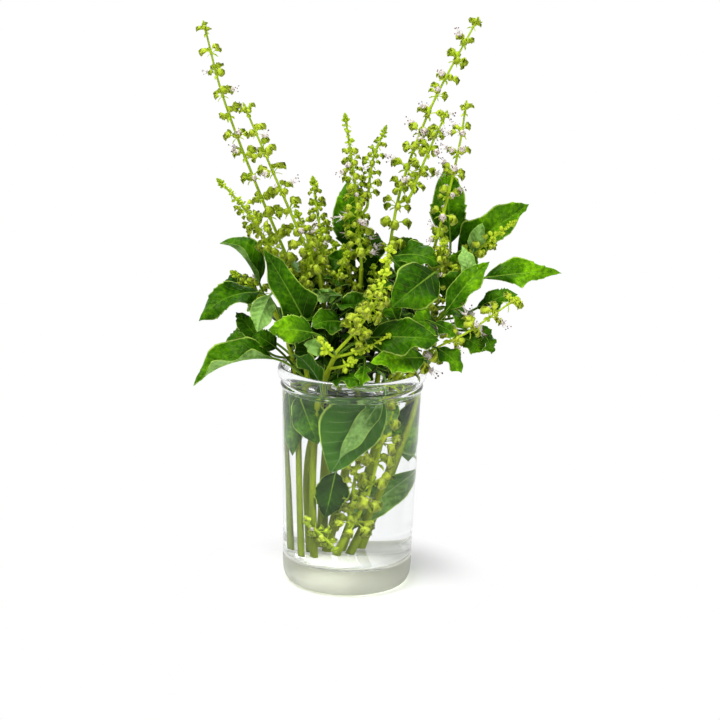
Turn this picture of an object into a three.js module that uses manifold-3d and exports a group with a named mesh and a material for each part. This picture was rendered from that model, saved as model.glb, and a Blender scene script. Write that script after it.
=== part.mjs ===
// A bunch of flowering holy basil (Ocimum tenuiflorum) standing in a straight glass of water.
//
// Ten cut stems stand on the floor of the glass. Each carries leaves on slender petioles, and most
// end in a raceme: a thin rachis with whorls of small cupped calyces, wider at the base than the tip.
// Every stem, leaf and raceme is a solid of its own, and so are the glass and the water.
//
// Units are millimetres, +Z is up and the front faces -Y. The origin is the middle of the glass's foot.

import * as THREE from 'three';
import { mergeVertices } from 'three/addons/utils/BufferGeometryUtils.js';
import Module from 'manifold-3d';

const wasm = await Module();
wasm.setup();

const GAP = 0.3; // what touching pieces keep between them, because meshes hold 32-bit numbers

// ---- the glass and the water ----

const GLASS_HEIGHT = 111;
const RIM_RADIUS = 37; // outside of the rolled rim
const NECK_Z = 102.5; // where the rolled rim begins
const TOP_RADIUS = 34.5; // outside of the wall at the neck
const BASE_RADIUS = 32.4; // outside of the wall just above the base
const BASE_Z = 8;
const FOOT_RADIUS = 27.5;
const FLOOR_Z = 13.5; // top of the thick base, inside
const WALL = 2.4;
const GLASS_SIDES = 36;
const WATER_LEVEL = 100;

const innerTop = TOP_RADIUS - WALL;
const innerBase = BASE_RADIUS - WALL;

// ---- the stems: each is a smooth curve through a few points, from its cut end up ----

const STEM_FOOT = FLOOR_Z + 0.6;
const STEM_RADIUS = { cut: 1.6, tip: 1.05 };
const STEM_SIDES = 8;
const STEM_STEPS = 8;

const STEMS = {
  left: [[-19, -8, STEM_FOOT], [-21, -8, 60], [-22, -5, 104], [-27, -2, 135], [-31, 0, 158]],
  edge: [[-21, 3, STEM_FOOT], [-24, 2, 60], [-28, 4, 104], [-36, 8, 130], [-42, 9, 139]],
  mid_left: [[-13, 4, STEM_FOOT], [-15, 3, 60], [-10, 2, 104], [-14, -4, 138], [-17, -7, 155]],
  centre: [[-7, 8, STEM_FOOT], [-1, 7, 60], [3, 4, 104], [3, 2, 140], [3, 0, 160]],
  tall: [[-2, 12, STEM_FOOT], [7, 11, 60], [13, 8, 104], [15, 7, 140], [16, 6, 164]],
  right: [[1, 5, STEM_FOOT], [15, 3, 60], [28, 1, 104], [33, 0, 140], [36, 0, 160]],
  front: [[-13, -6, STEM_FOOT], [-15, -11, 60], [-14, -21, 102], [-12, -25, 113], [-8, -30, 124]],
  sloping: [[-4, -2, STEM_FOOT + 1], [-2, -3, 22], [0, -4, 26.5]],
  rear_right: [[4, 17, STEM_FOOT], [13, 20, 60], [20, 21, 104], [38, 20, 140], [56, 15, 164]],
  rear: [[-8, 16, STEM_FOOT], [-7, 20, 60], [-6, 22, 104], [-10, 32, 135], [-14, 42, 153]],
};

// ---- the racemes: a curve, the number of whorls and the widest whorl's radius ----

const RACHIS_RADIUS = { base: 0.9, tip: 0.45 };
const WHORL_HEIGHT = 3.6;
const WHORL_ARMS = 4;
const WHORL_INSET = { base: 0.6, tip: 0.5 }; // bare rachis past the end whorls, in steps between whorls
const WHORL_TAPER = 0.45; // how much narrower the whorl at the tip is, as a share of the widest
const WHORL_HUB = 1.6; // a whorl's radius between its arms, as a multiple of the rachis's

const RACEMES = {
  left_tall: { whorls: 12, radius: 7.5, path: [[-31, 0, 159], [-50, 0, 202], [-66, 0, 243], [-75, -5, 278]] },
  left_inner: { whorls: 9, radius: 7, path: [[-17, -7, 156], [-27, -10, 178], [-46, -15, 221], [-55, -15, 241]] },
  left_low: { whorls: 7, radius: 6, path: [[-32, -4, 154], [-45, -15, 178], [-55, -22, 194], [-66, -25, 206]] },
  left_back: { whorls: 5, radius: 6, path: [[-15, 8, 146], [-20, 14, 162], [-30, 18, 184]] },
  edge: { whorls: 3, radius: 5, path: [[-43, 9, 140], [-52, 9, 148], [-61, 10, 154]] },
  centre: { whorls: 8, radius: 7, path: [[3, 0, 161], [1, 0, 181], [-2, 0, 206], [-7, 0, 235]] },
  centre_side: { whorls: 4, radius: 5, path: [[5, 3, 190], [7, 5, 212], [13, 6, 229]] },
  right_tall: { whorls: 13, radius: 8, path: [[16, 6, 165], [21, 10, 197], [34, 15, 236], [56, 20, 281]] },
  right_side: { whorls: 5, radius: 6, path: [[26, 4, 196], [33, 2, 216], [42, 0, 238]] },
  right: { whorls: 8, radius: 7, path: [[36, 0, 161], [44, 0, 197], [49, 0, 225], [51, 0, 243]] },
  front: { whorls: 11, radius: 6, path: [[-8, -31, 125], [2, -38, 139], [11, -43, 155], [16, -46, 180]] },
  sloping: {
    whorls: 14, radius: 6.5,
    path: [
      [0, -4, 27], [7, -7, 46], [13, -10, 76], [18, -12, 94], [22, -13, 106], [30, -15, 117],
      [41, -19, 126], [54, -22, 134], [78, -25, 153],
    ],
  },
  rear_right: { whorls: 3, radius: 5, path: [[57, 15, 165], [67, 9, 175], [78, 8, 184]] },
  heart: { whorls: 5, radius: 6, path: [[-6, 12, 138], [-9, 16, 150], [-10, 20, 168]] },
  rear: { whorls: 5, radius: 6, path: [[-14, 43, 154], [-19, 50, 172], [-23, 58, 194]] },
};

// ---- the leaves ----
// A petiole runs from the stem's node at height z to the blade's base, and the blade on to its tip: the
// two points of blade. The blade's middle stands out by arch towards the side its upper face looks along,
// which face gives as a compass angle (0 is +X, 90 is +Y) and a slope above level, in degrees. Each half
// folds up from the midrib by fold, in degrees. Halfway out, a blade is nearly as thick as its midrib.

const LEAVES = {
  left_1: {
    stem: 'edge', z: 133, blade: [[-47, 5, 150], [-67, 8, 170]],
    arch: 5, width: 16, face: [-60, 60],
  },
  left_2: {
    stem: 'edge', z: 128, blade: [[-47, 1, 146], [-76, -14, 135]],
    arch: 5, width: 15, face: [-100, 65],
  },
  left_3: {
    stem: 'edge', z: 124, blade: [[-48, 17, 141], [-70, 18, 144]],
    arch: 5, width: 16, face: [-90, 45],
  },
  left_4: {
    stem: 'left', z: 122, blade: [[-23, -16, 135], [-44, -24, 173]],
    arch: 3, width: 20, face: [-70, 5],
  },
  left_5: {
    stem: 'left', z: 132, blade: [[-41, -14, 148], [-47, -22, 131]],
    arch: 2, width: 12, face: [105, 5],
  },
  left_6: {
    stem: 'edge', z: 112, blade: [[-44, -4, 120], [-58, -2, 137]],
    arch: 2, width: 10, face: [-80, 20],
  },
  left_7: {
    stem: 'left', z: 103, blade: [[-39, -11, 116], [-78, -20, 104]],
    arch: 6, width: 20, face: [-100, 60], fold: 30,
  },
  left_8: {
    stem: 'edge', z: 112, blade: [[-46, 12, 121], [-65, 12, 117]],
    arch: 3, width: 13, face: [-90, 50],
  },
  front_1: {
    stem: 'left', z: 116, blade: [[-19, -42, 137], [-40, -50, 140]],
    arch: 3, width: 14, face: [-80, 30],
  },
  front_2: {
    stem: 'front', z: 97, blade: [[-15, -28, 109], [-29, -31, 125]],
    arch: 2, width: 12, face: [70, 40],
  },
  front_3: {
    stem: 'front', z: 98, blade: [[-9, -29, 110], [5, -43, 112]],
    arch: 5, width: 12, face: [-60, 50],
  },
  front_4: {
    stem: 'front', z: 112, blade: [[8, -36, 134], [41, -44, 136]],
    arch: 3, width: 17, face: [-90, 30],
  },
  front_5: {
    stem: 'right', z: 108, blade: [[34, -29, 123], [9, -50, 126]],
    arch: 2, width: 15, face: [-70, 35],
  },
  front_6: {
    stem: 'centre', z: 124, blade: [[-6, -14, 136], [-20, -26, 137]],
    arch: 2, width: 15, face: [-80, 45],
  },
  front_7: {
    stem: 'right', z: 120, blade: [[40, -24, 136], [27, -38, 143]],
    arch: 3, width: 16, face: [-60, 40],
  },
  centre_1: {
    stem: 'centre', z: 148, blade: [[-2, 12, 166], [-5, 16, 201]],
    arch: 2, width: 16, face: [-100, 5],
  },
  centre_2: {
    stem: 'centre', z: 142, blade: [[3, 13, 159], [11, 16, 175]],
    arch: 2, width: 15, face: [-90, 20],
  },
  centre_3: {
    stem: 'mid_left', z: 130, blade: [[-6, -9, 138], [8, -14, 149]],
    arch: 2, width: 14, face: [-90, 30],
  },
  centre_4: {
    stem: 'tall', z: 156, blade: [[19, 1, 166], [42, -8, 165]],
    arch: 4, width: 16, face: [-100, 50],
  },
  centre_5: {
    stem: 'right', z: 140, blade: [[38, -16, 162], [18, -34, 149]],
    arch: 3, width: 23, face: [-70, 35],
  },
  right_1: {
    stem: 'right', z: 128, blade: [[45, -20, 145], [65, -10, 168]],
    arch: 3, width: 12, face: [-110, 20],
  },
  right_2: {
    stem: 'rear_right', z: 142, blade: [[64, 0, 157], [102, 4, 160]],
    arch: 3, width: 13, face: [-90, 30],
  },
  right_3: {
    stem: 'rear_right', z: 150, blade: [[51, 20, 165], [86, 24, 190]],
    arch: 4, width: 18, face: [-80, 20],
  },
  right_4: {
    stem: 'right', z: 150, blade: [[47, 20, 170], [44, 26, 208]],
    arch: 2, width: 17, face: [-95, 5],
  },
  right_5: {
    stem: 'right', z: 138, blade: [[46, -6, 143], [55, -20, 135]],
    arch: 3, width: 14, face: [-60, 50],
  },
  right_6: {
    stem: 'rear_right', z: 132, blade: [[60, -10, 144], [79, -14, 153]],
    arch: 2, width: 10, face: [-90, 45],
  },
  sunk_1: {
    stem: 'front', z: 95, blade: [[14, -22, 100], [-9, -24, 63]],
    arch: 1, width: 26, face: [100, 5], fold: 8,
  },
  sunk_2: {
    stem: 'right', z: 68, blade: [[24, 8, 56], [1, 8, 26]],
    arch: 0.5, width: 14, face: [90, 0], fold: 4,
  },
  back_1: {
    stem: 'rear', z: 132, blade: [[-22, 42, 144], [-40, 58, 150]],
    arch: 4, width: 20, face: [120, 55],
  },
  back_2: {
    stem: 'rear', z: 122, blade: [[0, 42, 134], [8, 68, 134]],
    arch: 5, width: 21, face: [80, 60],
  },
  back_3: {
    stem: 'rear_right', z: 126, blade: [[36, 36, 138], [56, 56, 148]],
    arch: 4, width: 20, face: [50, 55],
  },
  back_4: {
    stem: 'rear_right', z: 110, blade: [[26, 40, 120], [34, 66, 112]],
    arch: 6, width: 20, face: [70, 60],
  },
  back_5: {
    stem: 'edge', z: 118, blade: [[-38, 24, 126], [-52, 46, 124]],
    arch: 5, width: 18, face: [110, 60],
  },
};

const LEAF_THICKNESS = 0.5;
const PETIOLE_RADIUS = 0.6;
const BLADE_STEPS = [0.02, 0.16, 0.32, 0.5, 0.68, 0.85, 0.98]; // shares of the blade's length
const WIDEST_AT = 0.42; // share of the blade's length
const FULLNESS = 1.8; // how quickly the outline narrows away from there
const FOLD = 14; // where a leaf gives none
const HALFWAY_THICKNESS = 0.9; // share of the thickness at the midrib

// ---- shared shapes ----

const rad = THREE.MathUtils.degToRad;
const vector = (p) => new THREE.Vector3(...p);
const curveThrough = (points) => new THREE.CatmullRomCurve3(points.map(vector));
const FRAME_STEPS = 200; // how finely a curve's frames are worked out

// A closed body through rings of the same number of points, each ring turning left round the way along.
function loft(rings) {
  const sides = rings[0].length;
  const centre = (ring) => ring.reduce((sum, p) => sum.add(p), new THREE.Vector3()).divideScalar(sides);
  const corners = [...rings.flat(), centre(rings[0]), centre(rings.at(-1))];
  const first = rings.length * sides;
  const index = [];
  for (let k = 0; k < sides; k++) {
    const next = (k + 1) % sides;
    index.push(first, next, k);
    for (let i = 0; i < rings.length - 1; i++) {
      const [a, b] = [i * sides + k, i * sides + next];
      index.push(a, b, a + sides, b, b + sides, a + sides);
    }
    index.push(first + 1, first - sides + k, first - sides + next);
  }
  return new THREE.BufferGeometry().setFromPoints(corners).setIndex(index);
}

// A tube along a curve, whose section is radiusAt(share of the length, corner). Its ends overshoot.
function tube(curve, stations, sides, overshoot, radiusAt) {
  const frames = curve.computeFrenetFrames(FRAME_STEPS);
  const rings = stations.map((t) => {
    const k = Math.round(t * FRAME_STEPS);
    const past = (t === 1) - (t === 0);
    const at = curve.getPointAt(t).addScaledVector(frames.tangents[k], past * overshoot);
    return Array.from({ length: sides }, (_, j) => {
      const turn = (2 * Math.PI * j) / sides;
      const radius = radiusAt(t, j);
      return at.clone()
        .addScaledVector(frames.normals[k], radius * Math.cos(turn))
        .addScaledVector(frames.binormals[k], radius * Math.sin(turn));
    });
  });
  return loft(rings);
}

const evenly = (count) => Array.from({ length: count + 1 }, (_, i) => i / count);

function stemShape(points, grow = 0) {
  return tube(curveThrough(points), evenly(STEM_STEPS), STEM_SIDES, grow,
    (t) => THREE.MathUtils.lerp(STEM_RADIUS.cut, STEM_RADIUS.tip, t) + grow);
}

// The rachis swells into a whorl of arms at even steps. Whorls shrink and draw together towards the tip.
function racemeShape({ path, whorls, radius }, grow = 0) {
  const curve = curveThrough(path);
  const half = WHORL_HEIGHT / 2 / curve.getLength();
  const stations = [0];
  const whorlAt = new Map();
  for (let i = 0; i < whorls; i++) {
    const share = (i + WHORL_INSET.base) / (whorls - 1 + WHORL_INSET.base + WHORL_INSET.tip);
    stations.push(share - half, share, share + half);
    whorlAt.set(share, i);
  }
  stations.push(1);
  return tube(curve, stations, 2 * WHORL_ARMS, grow, (t, j) => {
    const rachis = THREE.MathUtils.lerp(RACHIS_RADIUS.base, RACHIS_RADIUS.tip, t) + grow;
    if (!whorlAt.has(t)) return rachis;
    const arm = (j + whorlAt.get(t)) % 2 === 0;
    return arm ? radius * (1 - WHORL_TAPER * t * t) + grow : WHORL_HUB * rachis;
  });
}

// Half width of the blade as a share of the widest, at share u of its length: narrow base, longer tip.
function outline(u) {
  const [base, tip] = [WIDEST_AT, 1 - WIDEST_AT];
  return (u / base) ** (base * FULLNESS) * ((1 - u) / tip) ** (tip * FULLNESS);
}

function direction([compass, slope]) {
  const [turn, rise] = [rad(compass), rad(slope)];
  return new THREE.Vector3(Math.cos(rise) * Math.cos(turn), Math.cos(rise) * Math.sin(turn), Math.sin(rise));
}

// One loft of eight-sided rings along the petiole and the blade: two points of a ring are on the margins,
// three on the upper face and three below. The petiole starts beside its stem and runs into the midrib.
function leafShape(leaf, grow = 0) {
  const { stem, z, width, arch, fold = FOLD } = leaf;
  const [base, tip] = leaf.blade.map(vector);
  const face = direction(leaf.face);
  const axis = pointAtHeight(stem, z);
  const outward = base.clone().sub(axis).setZ(0).normalize();
  const start = axis.addScaledVector(outward, STEM_RADIUS.cut + PETIOLE_RADIUS + GAP);
  const crown = base.clone().lerp(tip, 0.5).addScaledVector(face, 2 * arch);
  const blade = new THREE.QuadraticBezierCurve3(base, crown, tip);
  const bend = base.clone().addScaledVector(blade.getTangent(0), -0.5 * base.distanceTo(start));
  const petiole = new THREE.QuadraticBezierCurve3(start, bend, base);

  const ring = (at, way, half, thick, tilt) => {
    const up = face.clone().addScaledVector(way, -face.dot(way)).normalize();
    const left = up.clone().cross(way);
    const point = (v, side) => at.clone()
      .addScaledVector(left, v * half * Math.cos(tilt))
      .addScaledVector(up, Math.abs(v) * half * Math.sin(tilt) + side * thick);
    const mid = HALFWAY_THICKNESS;
    return [
      point(1, 0), point(0.5, mid), point(0, 1), point(-0.5, mid),
      point(-1, 0), point(-0.5, -mid), point(0, -1), point(0.5, -mid),
    ];
  };
  const along = (curve, t, past, half, thick, tilt) => {
    const way = curve.getTangent(t);
    return ring(curve.getPoint(t).addScaledVector(way, past), way, half + 4 * grow, thick + grow, tilt);
  };
  return loft([
    along(petiole, 0, -grow, PETIOLE_RADIUS, PETIOLE_RADIUS, 0),
    along(petiole, 0.5, 0, PETIOLE_RADIUS, PETIOLE_RADIUS, 0),
    ...BLADE_STEPS.map((u) => along(
      blade, u, u > 0.9 ? grow : 0, Math.max(PETIOLE_RADIUS, (width / 2) * outline(u)),
      LEAF_THICKNESS / 2, rad(fold))),
  ]);
}

// The point where a stem's curve passes a height.
function pointAtHeight(stem, z) {
  const points = curveThrough(STEMS[stem]).getSpacedPoints(200);
  return points.find((p) => p.z >= z).clone();
}

// ---- booleans ----

function solid(geometry) {
  const bare = new THREE.BufferGeometry().setAttribute('position', geometry.getAttribute('position'));
  if (geometry.index) bare.setIndex(geometry.index);
  const merged = mergeVertices(bare, 1e-4);
  return new wasm.Manifold(new wasm.Mesh({
    numProp: 3,
    vertProperties: merged.attributes.position.array,
    triVerts: new Uint32Array(merged.index.array),
  }));
}

function geometryOf(body) {
  const mesh = body.getMesh();
  return new THREE.BufferGeometry()
    .setAttribute('position', new THREE.BufferAttribute(mesh.vertProperties, 3))
    .setIndex(new THREE.BufferAttribute(mesh.triVerts, 1));
}

// ---- the pieces ----

function turned(profile, sides) {
  const geometry = new THREE.LatheGeometry(profile.map(([r, z]) => new THREE.Vector2(r, z)), sides);
  return geometry.rotateX(Math.PI / 2); // a lathe turns about Y, and the glass stands along Z
}

function glassShape() {
  return turned([
    [0, 0], [FOOT_RADIUS, 0], [BASE_RADIUS - 2, 2.2], [BASE_RADIUS - 0.4, 5], [BASE_RADIUS, BASE_Z],
    [TOP_RADIUS, NECK_Z], [RIM_RADIUS - 0.6, NECK_Z + 2.2], [RIM_RADIUS, NECK_Z + 5],
    [RIM_RADIUS - 0.8, GLASS_HEIGHT - 1], [RIM_RADIUS - 2.2, GLASS_HEIGHT],
    [RIM_RADIUS - 3.6, GLASS_HEIGHT - 1], [innerTop + 0.4, NECK_Z + 2], [innerTop, NECK_Z - 2],
    [innerBase, FLOOR_Z + 3.5], [innerBase - 1.2, FLOOR_Z + 1], [innerBase - 4, FLOOR_Z], [0, FLOOR_Z],
  ], GLASS_SIDES);
}

function waterShape() {
  const low = FLOOR_Z + GAP;
  return turned([
    [0, low], [innerBase - 4 - GAP, low], [innerBase - 1.2 - GAP, low + 1], [innerBase - GAP, low + 3.5],
    [innerTop - GAP, WATER_LEVEL], [0, WATER_LEVEL],
  ], GLASS_SIDES);
}

const material = (colour, roughness, extra = {}) =>
  new THREE.MeshStandardMaterial({ color: colour, roughness, metalness: 0, ...extra });

const MATERIALS = {
  glass: material(0xe6efec, 0.05, { transparent: true, opacity: 0.35 }),
  water: material(0xdfeae6, 0.02, { transparent: true, opacity: 0.3 }),
  stem: material(0x8fa83a, 0.55),
  leaf: material(0x2f7a1e, 0.45),
  raceme: material(0x9db536, 0.6),
};

const bunch = new THREE.Group();

function add(name, geometry, kind) {
  const mesh = new THREE.Mesh(geometry, MATERIALS[kind]);
  mesh.name = name;
  bunch.add(mesh);
  return mesh;
}

add('glass', glassShape(), 'glass');

for (const [name, points] of Object.entries(STEMS)) add(`stem_${name}`, stemShape(points), 'stem');
for (const [name, raceme] of Object.entries(RACEMES)) add(`raceme_${name}`, racemeShape(raceme), 'raceme');
for (const [name, leaf] of Object.entries(LEAVES)) add(`leaf_${name}`, leafShape(leaf), 'leaf');

// The water is what is left of the glass's inside round everything that stands in it.
function waterRound() {
  const inIt = [
    ...Object.values(STEMS).map((points) => stemShape(points, GAP)),
    ...Object.values(RACEMES).filter((r) => r.path[0][2] < WATER_LEVEL).map((r) => racemeShape(r, GAP)),
    ...Object.values(LEAVES).filter((l) => l.z < WATER_LEVEL).map((l) => leafShape(l, GAP)),
  ];
  const cut = inIt.reduce((water, geometry) => water.subtract(solid(geometry)), solid(waterShape()));
  const biggest = cut.decompose().sort((a, b) => b.volume() - a.volume())[0];
  return geometryOf(biggest);
}
add('water', waterRound(), 'water');

export default bunch;
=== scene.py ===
"""Flowering holy basil standing in a glass of water: the finished surfaces of every piece.

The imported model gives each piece's place and size: the rings of points that a leaf, stem or raceme
was lofted through are read back from its node, and a finer surface is worked out along them.
Lengths are in millimetres until a mesh is made, and settings and finished meshes are in metres.
"""

import math
from types import SimpleNamespace

import bpy
import numpy as np
from mathutils import Matrix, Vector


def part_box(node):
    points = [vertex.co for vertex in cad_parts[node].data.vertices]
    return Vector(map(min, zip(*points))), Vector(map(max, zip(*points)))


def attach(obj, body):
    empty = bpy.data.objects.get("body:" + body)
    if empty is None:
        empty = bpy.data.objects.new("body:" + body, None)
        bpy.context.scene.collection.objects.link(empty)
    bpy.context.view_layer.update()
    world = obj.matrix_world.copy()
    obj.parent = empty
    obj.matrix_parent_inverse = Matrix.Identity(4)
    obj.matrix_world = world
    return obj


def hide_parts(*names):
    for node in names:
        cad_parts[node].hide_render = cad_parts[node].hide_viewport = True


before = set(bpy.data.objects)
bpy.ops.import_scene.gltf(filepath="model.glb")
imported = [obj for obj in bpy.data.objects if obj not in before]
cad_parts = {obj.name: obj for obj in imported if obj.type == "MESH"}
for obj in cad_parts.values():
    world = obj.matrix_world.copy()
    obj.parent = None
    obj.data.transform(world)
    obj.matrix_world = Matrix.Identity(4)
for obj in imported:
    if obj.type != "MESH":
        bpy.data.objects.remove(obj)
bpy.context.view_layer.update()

bl_info = {
    "name": "Holy basil in a glass",
    "version": (1, 0, 0),
    "blender": (4, 5, 0),
    "location": "View3D > Sidebar > Holy basil",
    "description": "Builds the leaves, flower spikes, stems, glass and water of a bunch of holy basil",
    "category": "Add Mesh",
}

MM = 0.001
BODY = "root"
Z_AXIS = np.array([0.0, 0.0, 1.0])
SIDE_AXIS = np.array([0.0, 1.0, 0.0])  # no stem or spike runs along it, so sections are turned from it
# Where the random draws of each kind of piece start, so that no two pieces draw alike.
SEEDS = SimpleNamespace(leaf=0, small=100, heart=200, spike=300, side=400)


# ---- numbers and curves ----


def linear(code):
    """The linear RGB of an sRGB hex colour."""
    shares = [int(code[i : i + 2], 16) / 255 for i in (1, 3, 5)]
    return tuple(c / 12.92 if c <= 0.04045 else ((c + 0.055) / 1.055) ** 2.4 for c in shares)


def unit(vectors):
    return vectors / np.maximum(np.linalg.norm(vectors, axis=-1, keepdims=True), 1e-9)


def ramp(x, low, high):
    """A smooth step from 0, where x is low, to 1, where it is high. high may be the smaller of the two."""
    t = np.clip((x - low) / (high - low), 0, 1)
    return t * t * (3 - 2 * t)


def lengths_along(points):
    """How far along a line of points each of them lies."""
    steps = np.linalg.norm(np.diff(points, axis=0), axis=1)
    return np.concatenate([[0], np.cumsum(steps)])


def through(points, count):
    """A smooth curve through points, as count points: cubic pieces in the length along the points, whose
    slope at each point comes from its neighbours' places and distances."""
    points = np.asarray(points, float)
    length = lengths_along(points)
    slope = np.gradient(points, length, axis=0)
    at = np.linspace(0, length[-1], count)
    k = np.clip(np.searchsorted(length, at, side="right") - 1, 0, len(length) - 2)
    span = (length[k + 1] - length[k])[:, None]
    t = (at - length[k])[:, None] / span
    return (
        (2 * t**3 - 3 * t**2 + 1) * points[k]
        + (t**3 - 2 * t**2 + t) * span * slope[k]
        + (3 * t**2 - 2 * t**3) * points[k + 1]
        + (t**3 - t**2) * span * slope[k + 1]
    )


def sections(path):
    """At each point of a path: the way it runs, the direction square to it that is nearest to the side axis,
    and the one that is square to both."""
    way = unit(np.gradient(path, axis=0))
    first = unit(SIDE_AXIS - (way @ SIDE_AXIS)[:, None] * way)
    return way, first, np.cross(way, first)


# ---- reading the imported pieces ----


def rings_of(node):
    """The rings of points that a lofted node was made through, from its fatter end, in mm.

    Its loose triangles are merged first. The middles of its two end caps are the only points with eight
    neighbours, and each ring is made of the new neighbours of the ring before it."""
    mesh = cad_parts[node].data
    corners = np.empty(len(mesh.vertices) * 3)
    mesh.vertices.foreach_get("co", corners)
    faces = np.empty(len(mesh.loops), int)
    mesh.loops.foreach_get("vertex_index", faces)
    places = np.round(corners.reshape(-1, 3) / MM, 3)
    points, merged = np.unique(places, axis=0, return_inverse=True)
    faces = merged.ravel()[faces].reshape(-1, 3)
    joined = np.zeros((len(points), len(points)), bool)
    for a, b in ((0, 1), (1, 2), (2, 0)):
        joined[faces[:, a], faces[:, b]] = True
        joined[faces[:, b], faces[:, a]] = True
    caps = np.flatnonzero(joined.sum(1) == 8)
    if len(caps) != 2:
        raise RuntimeError(f"{node} isn't a loft with eight sides: it has {len(caps)} cap middles")
    seen = np.zeros(len(points), bool)
    seen[caps] = True
    ring = joined[caps[0]]
    rings = []
    while ring.any():
        rings.append(points[ring])
        seen |= ring
        ring = joined[ring].any(0) & ~seen
    rings = np.array(rings)
    size = np.linalg.norm(rings - rings.mean(1, keepdims=True), axis=2).mean(1)
    return rings if size[0] > size[-1] else rings[::-1]


PATH_POINTS = 120
LEAVES = sorted(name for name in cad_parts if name.startswith("leaf_"))
STEMS = {name: rings_of(name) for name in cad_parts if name.startswith("stem_")}
SPIKES = {name: rings_of(name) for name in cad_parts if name.startswith("raceme_")}
STEM_PATHS = {name: through(rings.mean(1), PATH_POINTS) for name, rings in STEMS.items()}
SPIKE_PATHS = {name: through(rings.mean(1), PATH_POINTS) for name, rings in SPIKES.items()}


def nearest(point, paths):
    """The point of any of the paths that lies nearest to a point."""
    every = np.concatenate(paths)
    return every[np.argmin(np.linalg.norm(every - point, axis=1))]


def knee_at(stem, z):
    """The point of a stem that is nearest to the height z, where something grows from it."""
    path = STEM_PATHS[stem]
    return path[np.argmin(np.abs(path[:, 2] - z))]


# ---- meshes ----


def grid_faces(rows, columns):
    """Four-sided faces between neighbouring rows of points, each row a closed loop."""
    i = np.arange(rows - 1)[:, None] * columns
    j = np.arange(columns)[None, :]
    k = (j + 1) % columns
    return np.stack([i + j, i + k, i + columns + k, i + columns + j], -1).reshape(-1, 4)


def shell(rows, slots=0, ends=None, **marks):
    """A closed body through rows of points, each row a closed loop, with a point in the middle of each end.

    rows is (rows, columns, 3) and ends the two end points. slots is the material slot of each face between
    two rows, and marks are values for each point. One of either may stand for all, for its column or, where
    it has an axis of length 1 after it, for its row. The faces are turned outwards by the sign of the volume
    that they enclose."""
    count, columns = rows.shape[:2]
    ends = rows[[0, -1]].mean(1) if ends is None else np.asarray(ends)
    points = np.concatenate([rows.reshape(-1, 3), ends])
    quads = grid_faces(count, columns)
    j = np.arange(columns)
    k = (j + 1) % columns
    low, high = count * columns, count * columns + 1
    first = np.stack([np.full(columns, low), k, j], -1)
    last = np.stack([np.full(columns, high), low - columns + j, low - columns + k], -1)
    fans = np.concatenate([first, last])
    thirds = np.concatenate([quads[:, [0, 1, 2]], quads[:, [0, 2, 3]], fans])
    a, b, c = (points[thirds[:, n]] - points[0] for n in range(3))
    if np.einsum("ij,ij->i", a, np.cross(b, c)).sum() < 0:
        quads, fans = quads[:, ::-1], fans[:, ::-1]
    slots = np.broadcast_to(slots, (count - 1, columns))
    values = {}
    for name, value in marks.items():
        value = np.asarray(value, float)
        value = np.broadcast_to(value, (count, columns)) if value.ndim < 3 else value
        tail = value[[0, -1]].mean(1)
        values[name] = np.concatenate([value.reshape((-1,) + value.shape[2:]), tail])
    return SimpleNamespace(
        points=points, quads=quads, fans=fans, quad_slots=slots.ravel(), fan_slots=slots[[0, -1]].ravel(),
        marks=values,
    )


def join(parts):
    """One body out of several."""
    starts = np.cumsum([0] + [len(p.points) for p in parts[:-1]])
    return SimpleNamespace(
        points=np.concatenate([p.points for p in parts]),
        quads=np.concatenate([p.quads + s for p, s in zip(parts, starts)]),
        fans=np.concatenate([p.fans + s for p, s in zip(parts, starts)]),
        quad_slots=np.concatenate([p.quad_slots for p in parts]),
        fan_slots=np.concatenate([p.fan_slots for p in parts]),
        marks={m: np.concatenate([p.marks[m] for p in parts]) for m in parts[0].marks},
    )


def copies(part, turns, places, **marks):
    """A small body repeated: turns is (n, 3, 3), whose columns say where its axes go, and places (n, 3). It
    keeps its own marks, and marks adds one value for each copy."""
    n, size = len(places), len(part.points)
    points = np.einsum("nij,pj->npi", turns, part.points) + places[:, None]
    shift = (np.arange(n) * size)[:, None, None]
    return SimpleNamespace(
        points=points.reshape(-1, 3),
        quads=(part.quads + shift).reshape(-1, 4),
        fans=(part.fans + shift).reshape(-1, 3),
        quad_slots=np.tile(part.quad_slots, n),
        fan_slots=np.tile(part.fan_slots, n),
        marks={name: np.tile(value, n) for name, value in part.marks.items()}
        | {name: np.repeat(np.asarray(value, float), size) for name, value in marks.items()},
    )


def make_piece(name, body, materials, replaces=None):
    """Puts a body into a mesh object with its marks as attributes, parents it to the root body and hides the
    node that it replaces.
    """
    mesh = bpy.data.meshes.new(name)
    corners = np.concatenate([body.quads.ravel(), body.fans.ravel()])
    totals = np.concatenate([np.full(len(body.quads), 4), np.full(len(body.fans), 3)])
    mesh.vertices.add(len(body.points))
    mesh.vertices.foreach_set("co", (body.points * MM).ravel())
    mesh.loops.add(len(corners))
    mesh.loops.foreach_set("vertex_index", corners)
    mesh.polygons.add(len(totals))
    mesh.polygons.foreach_set("loop_start", np.concatenate([[0], np.cumsum(totals)[:-1]]))
    mesh.polygons.foreach_set("material_index", np.concatenate([body.quad_slots, body.fan_slots]))
    mesh.update(calc_edges=True)
    mesh.polygons.foreach_set("use_smooth", np.ones(len(totals), bool))
    for mark, values in body.marks.items():
        if values.ndim == 2:
            mesh.uv_layers.new(name=mark).data.foreach_set("uv", values[corners].ravel())
        else:
            mesh.attributes.new(mark, "FLOAT", "POINT").data.foreach_set("value", values)
    if mesh.validate():
        raise RuntimeError(f"{name} has faces that Blender had to mend")
    for material in materials:
        mesh.materials.append(material)
    piece = bpy.data.objects.new(name, mesh)
    bpy.context.scene.collection.objects.link(piece)
    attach(piece, BODY)
    if replaces:
        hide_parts(replaces)


# ---- materials ----


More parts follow.
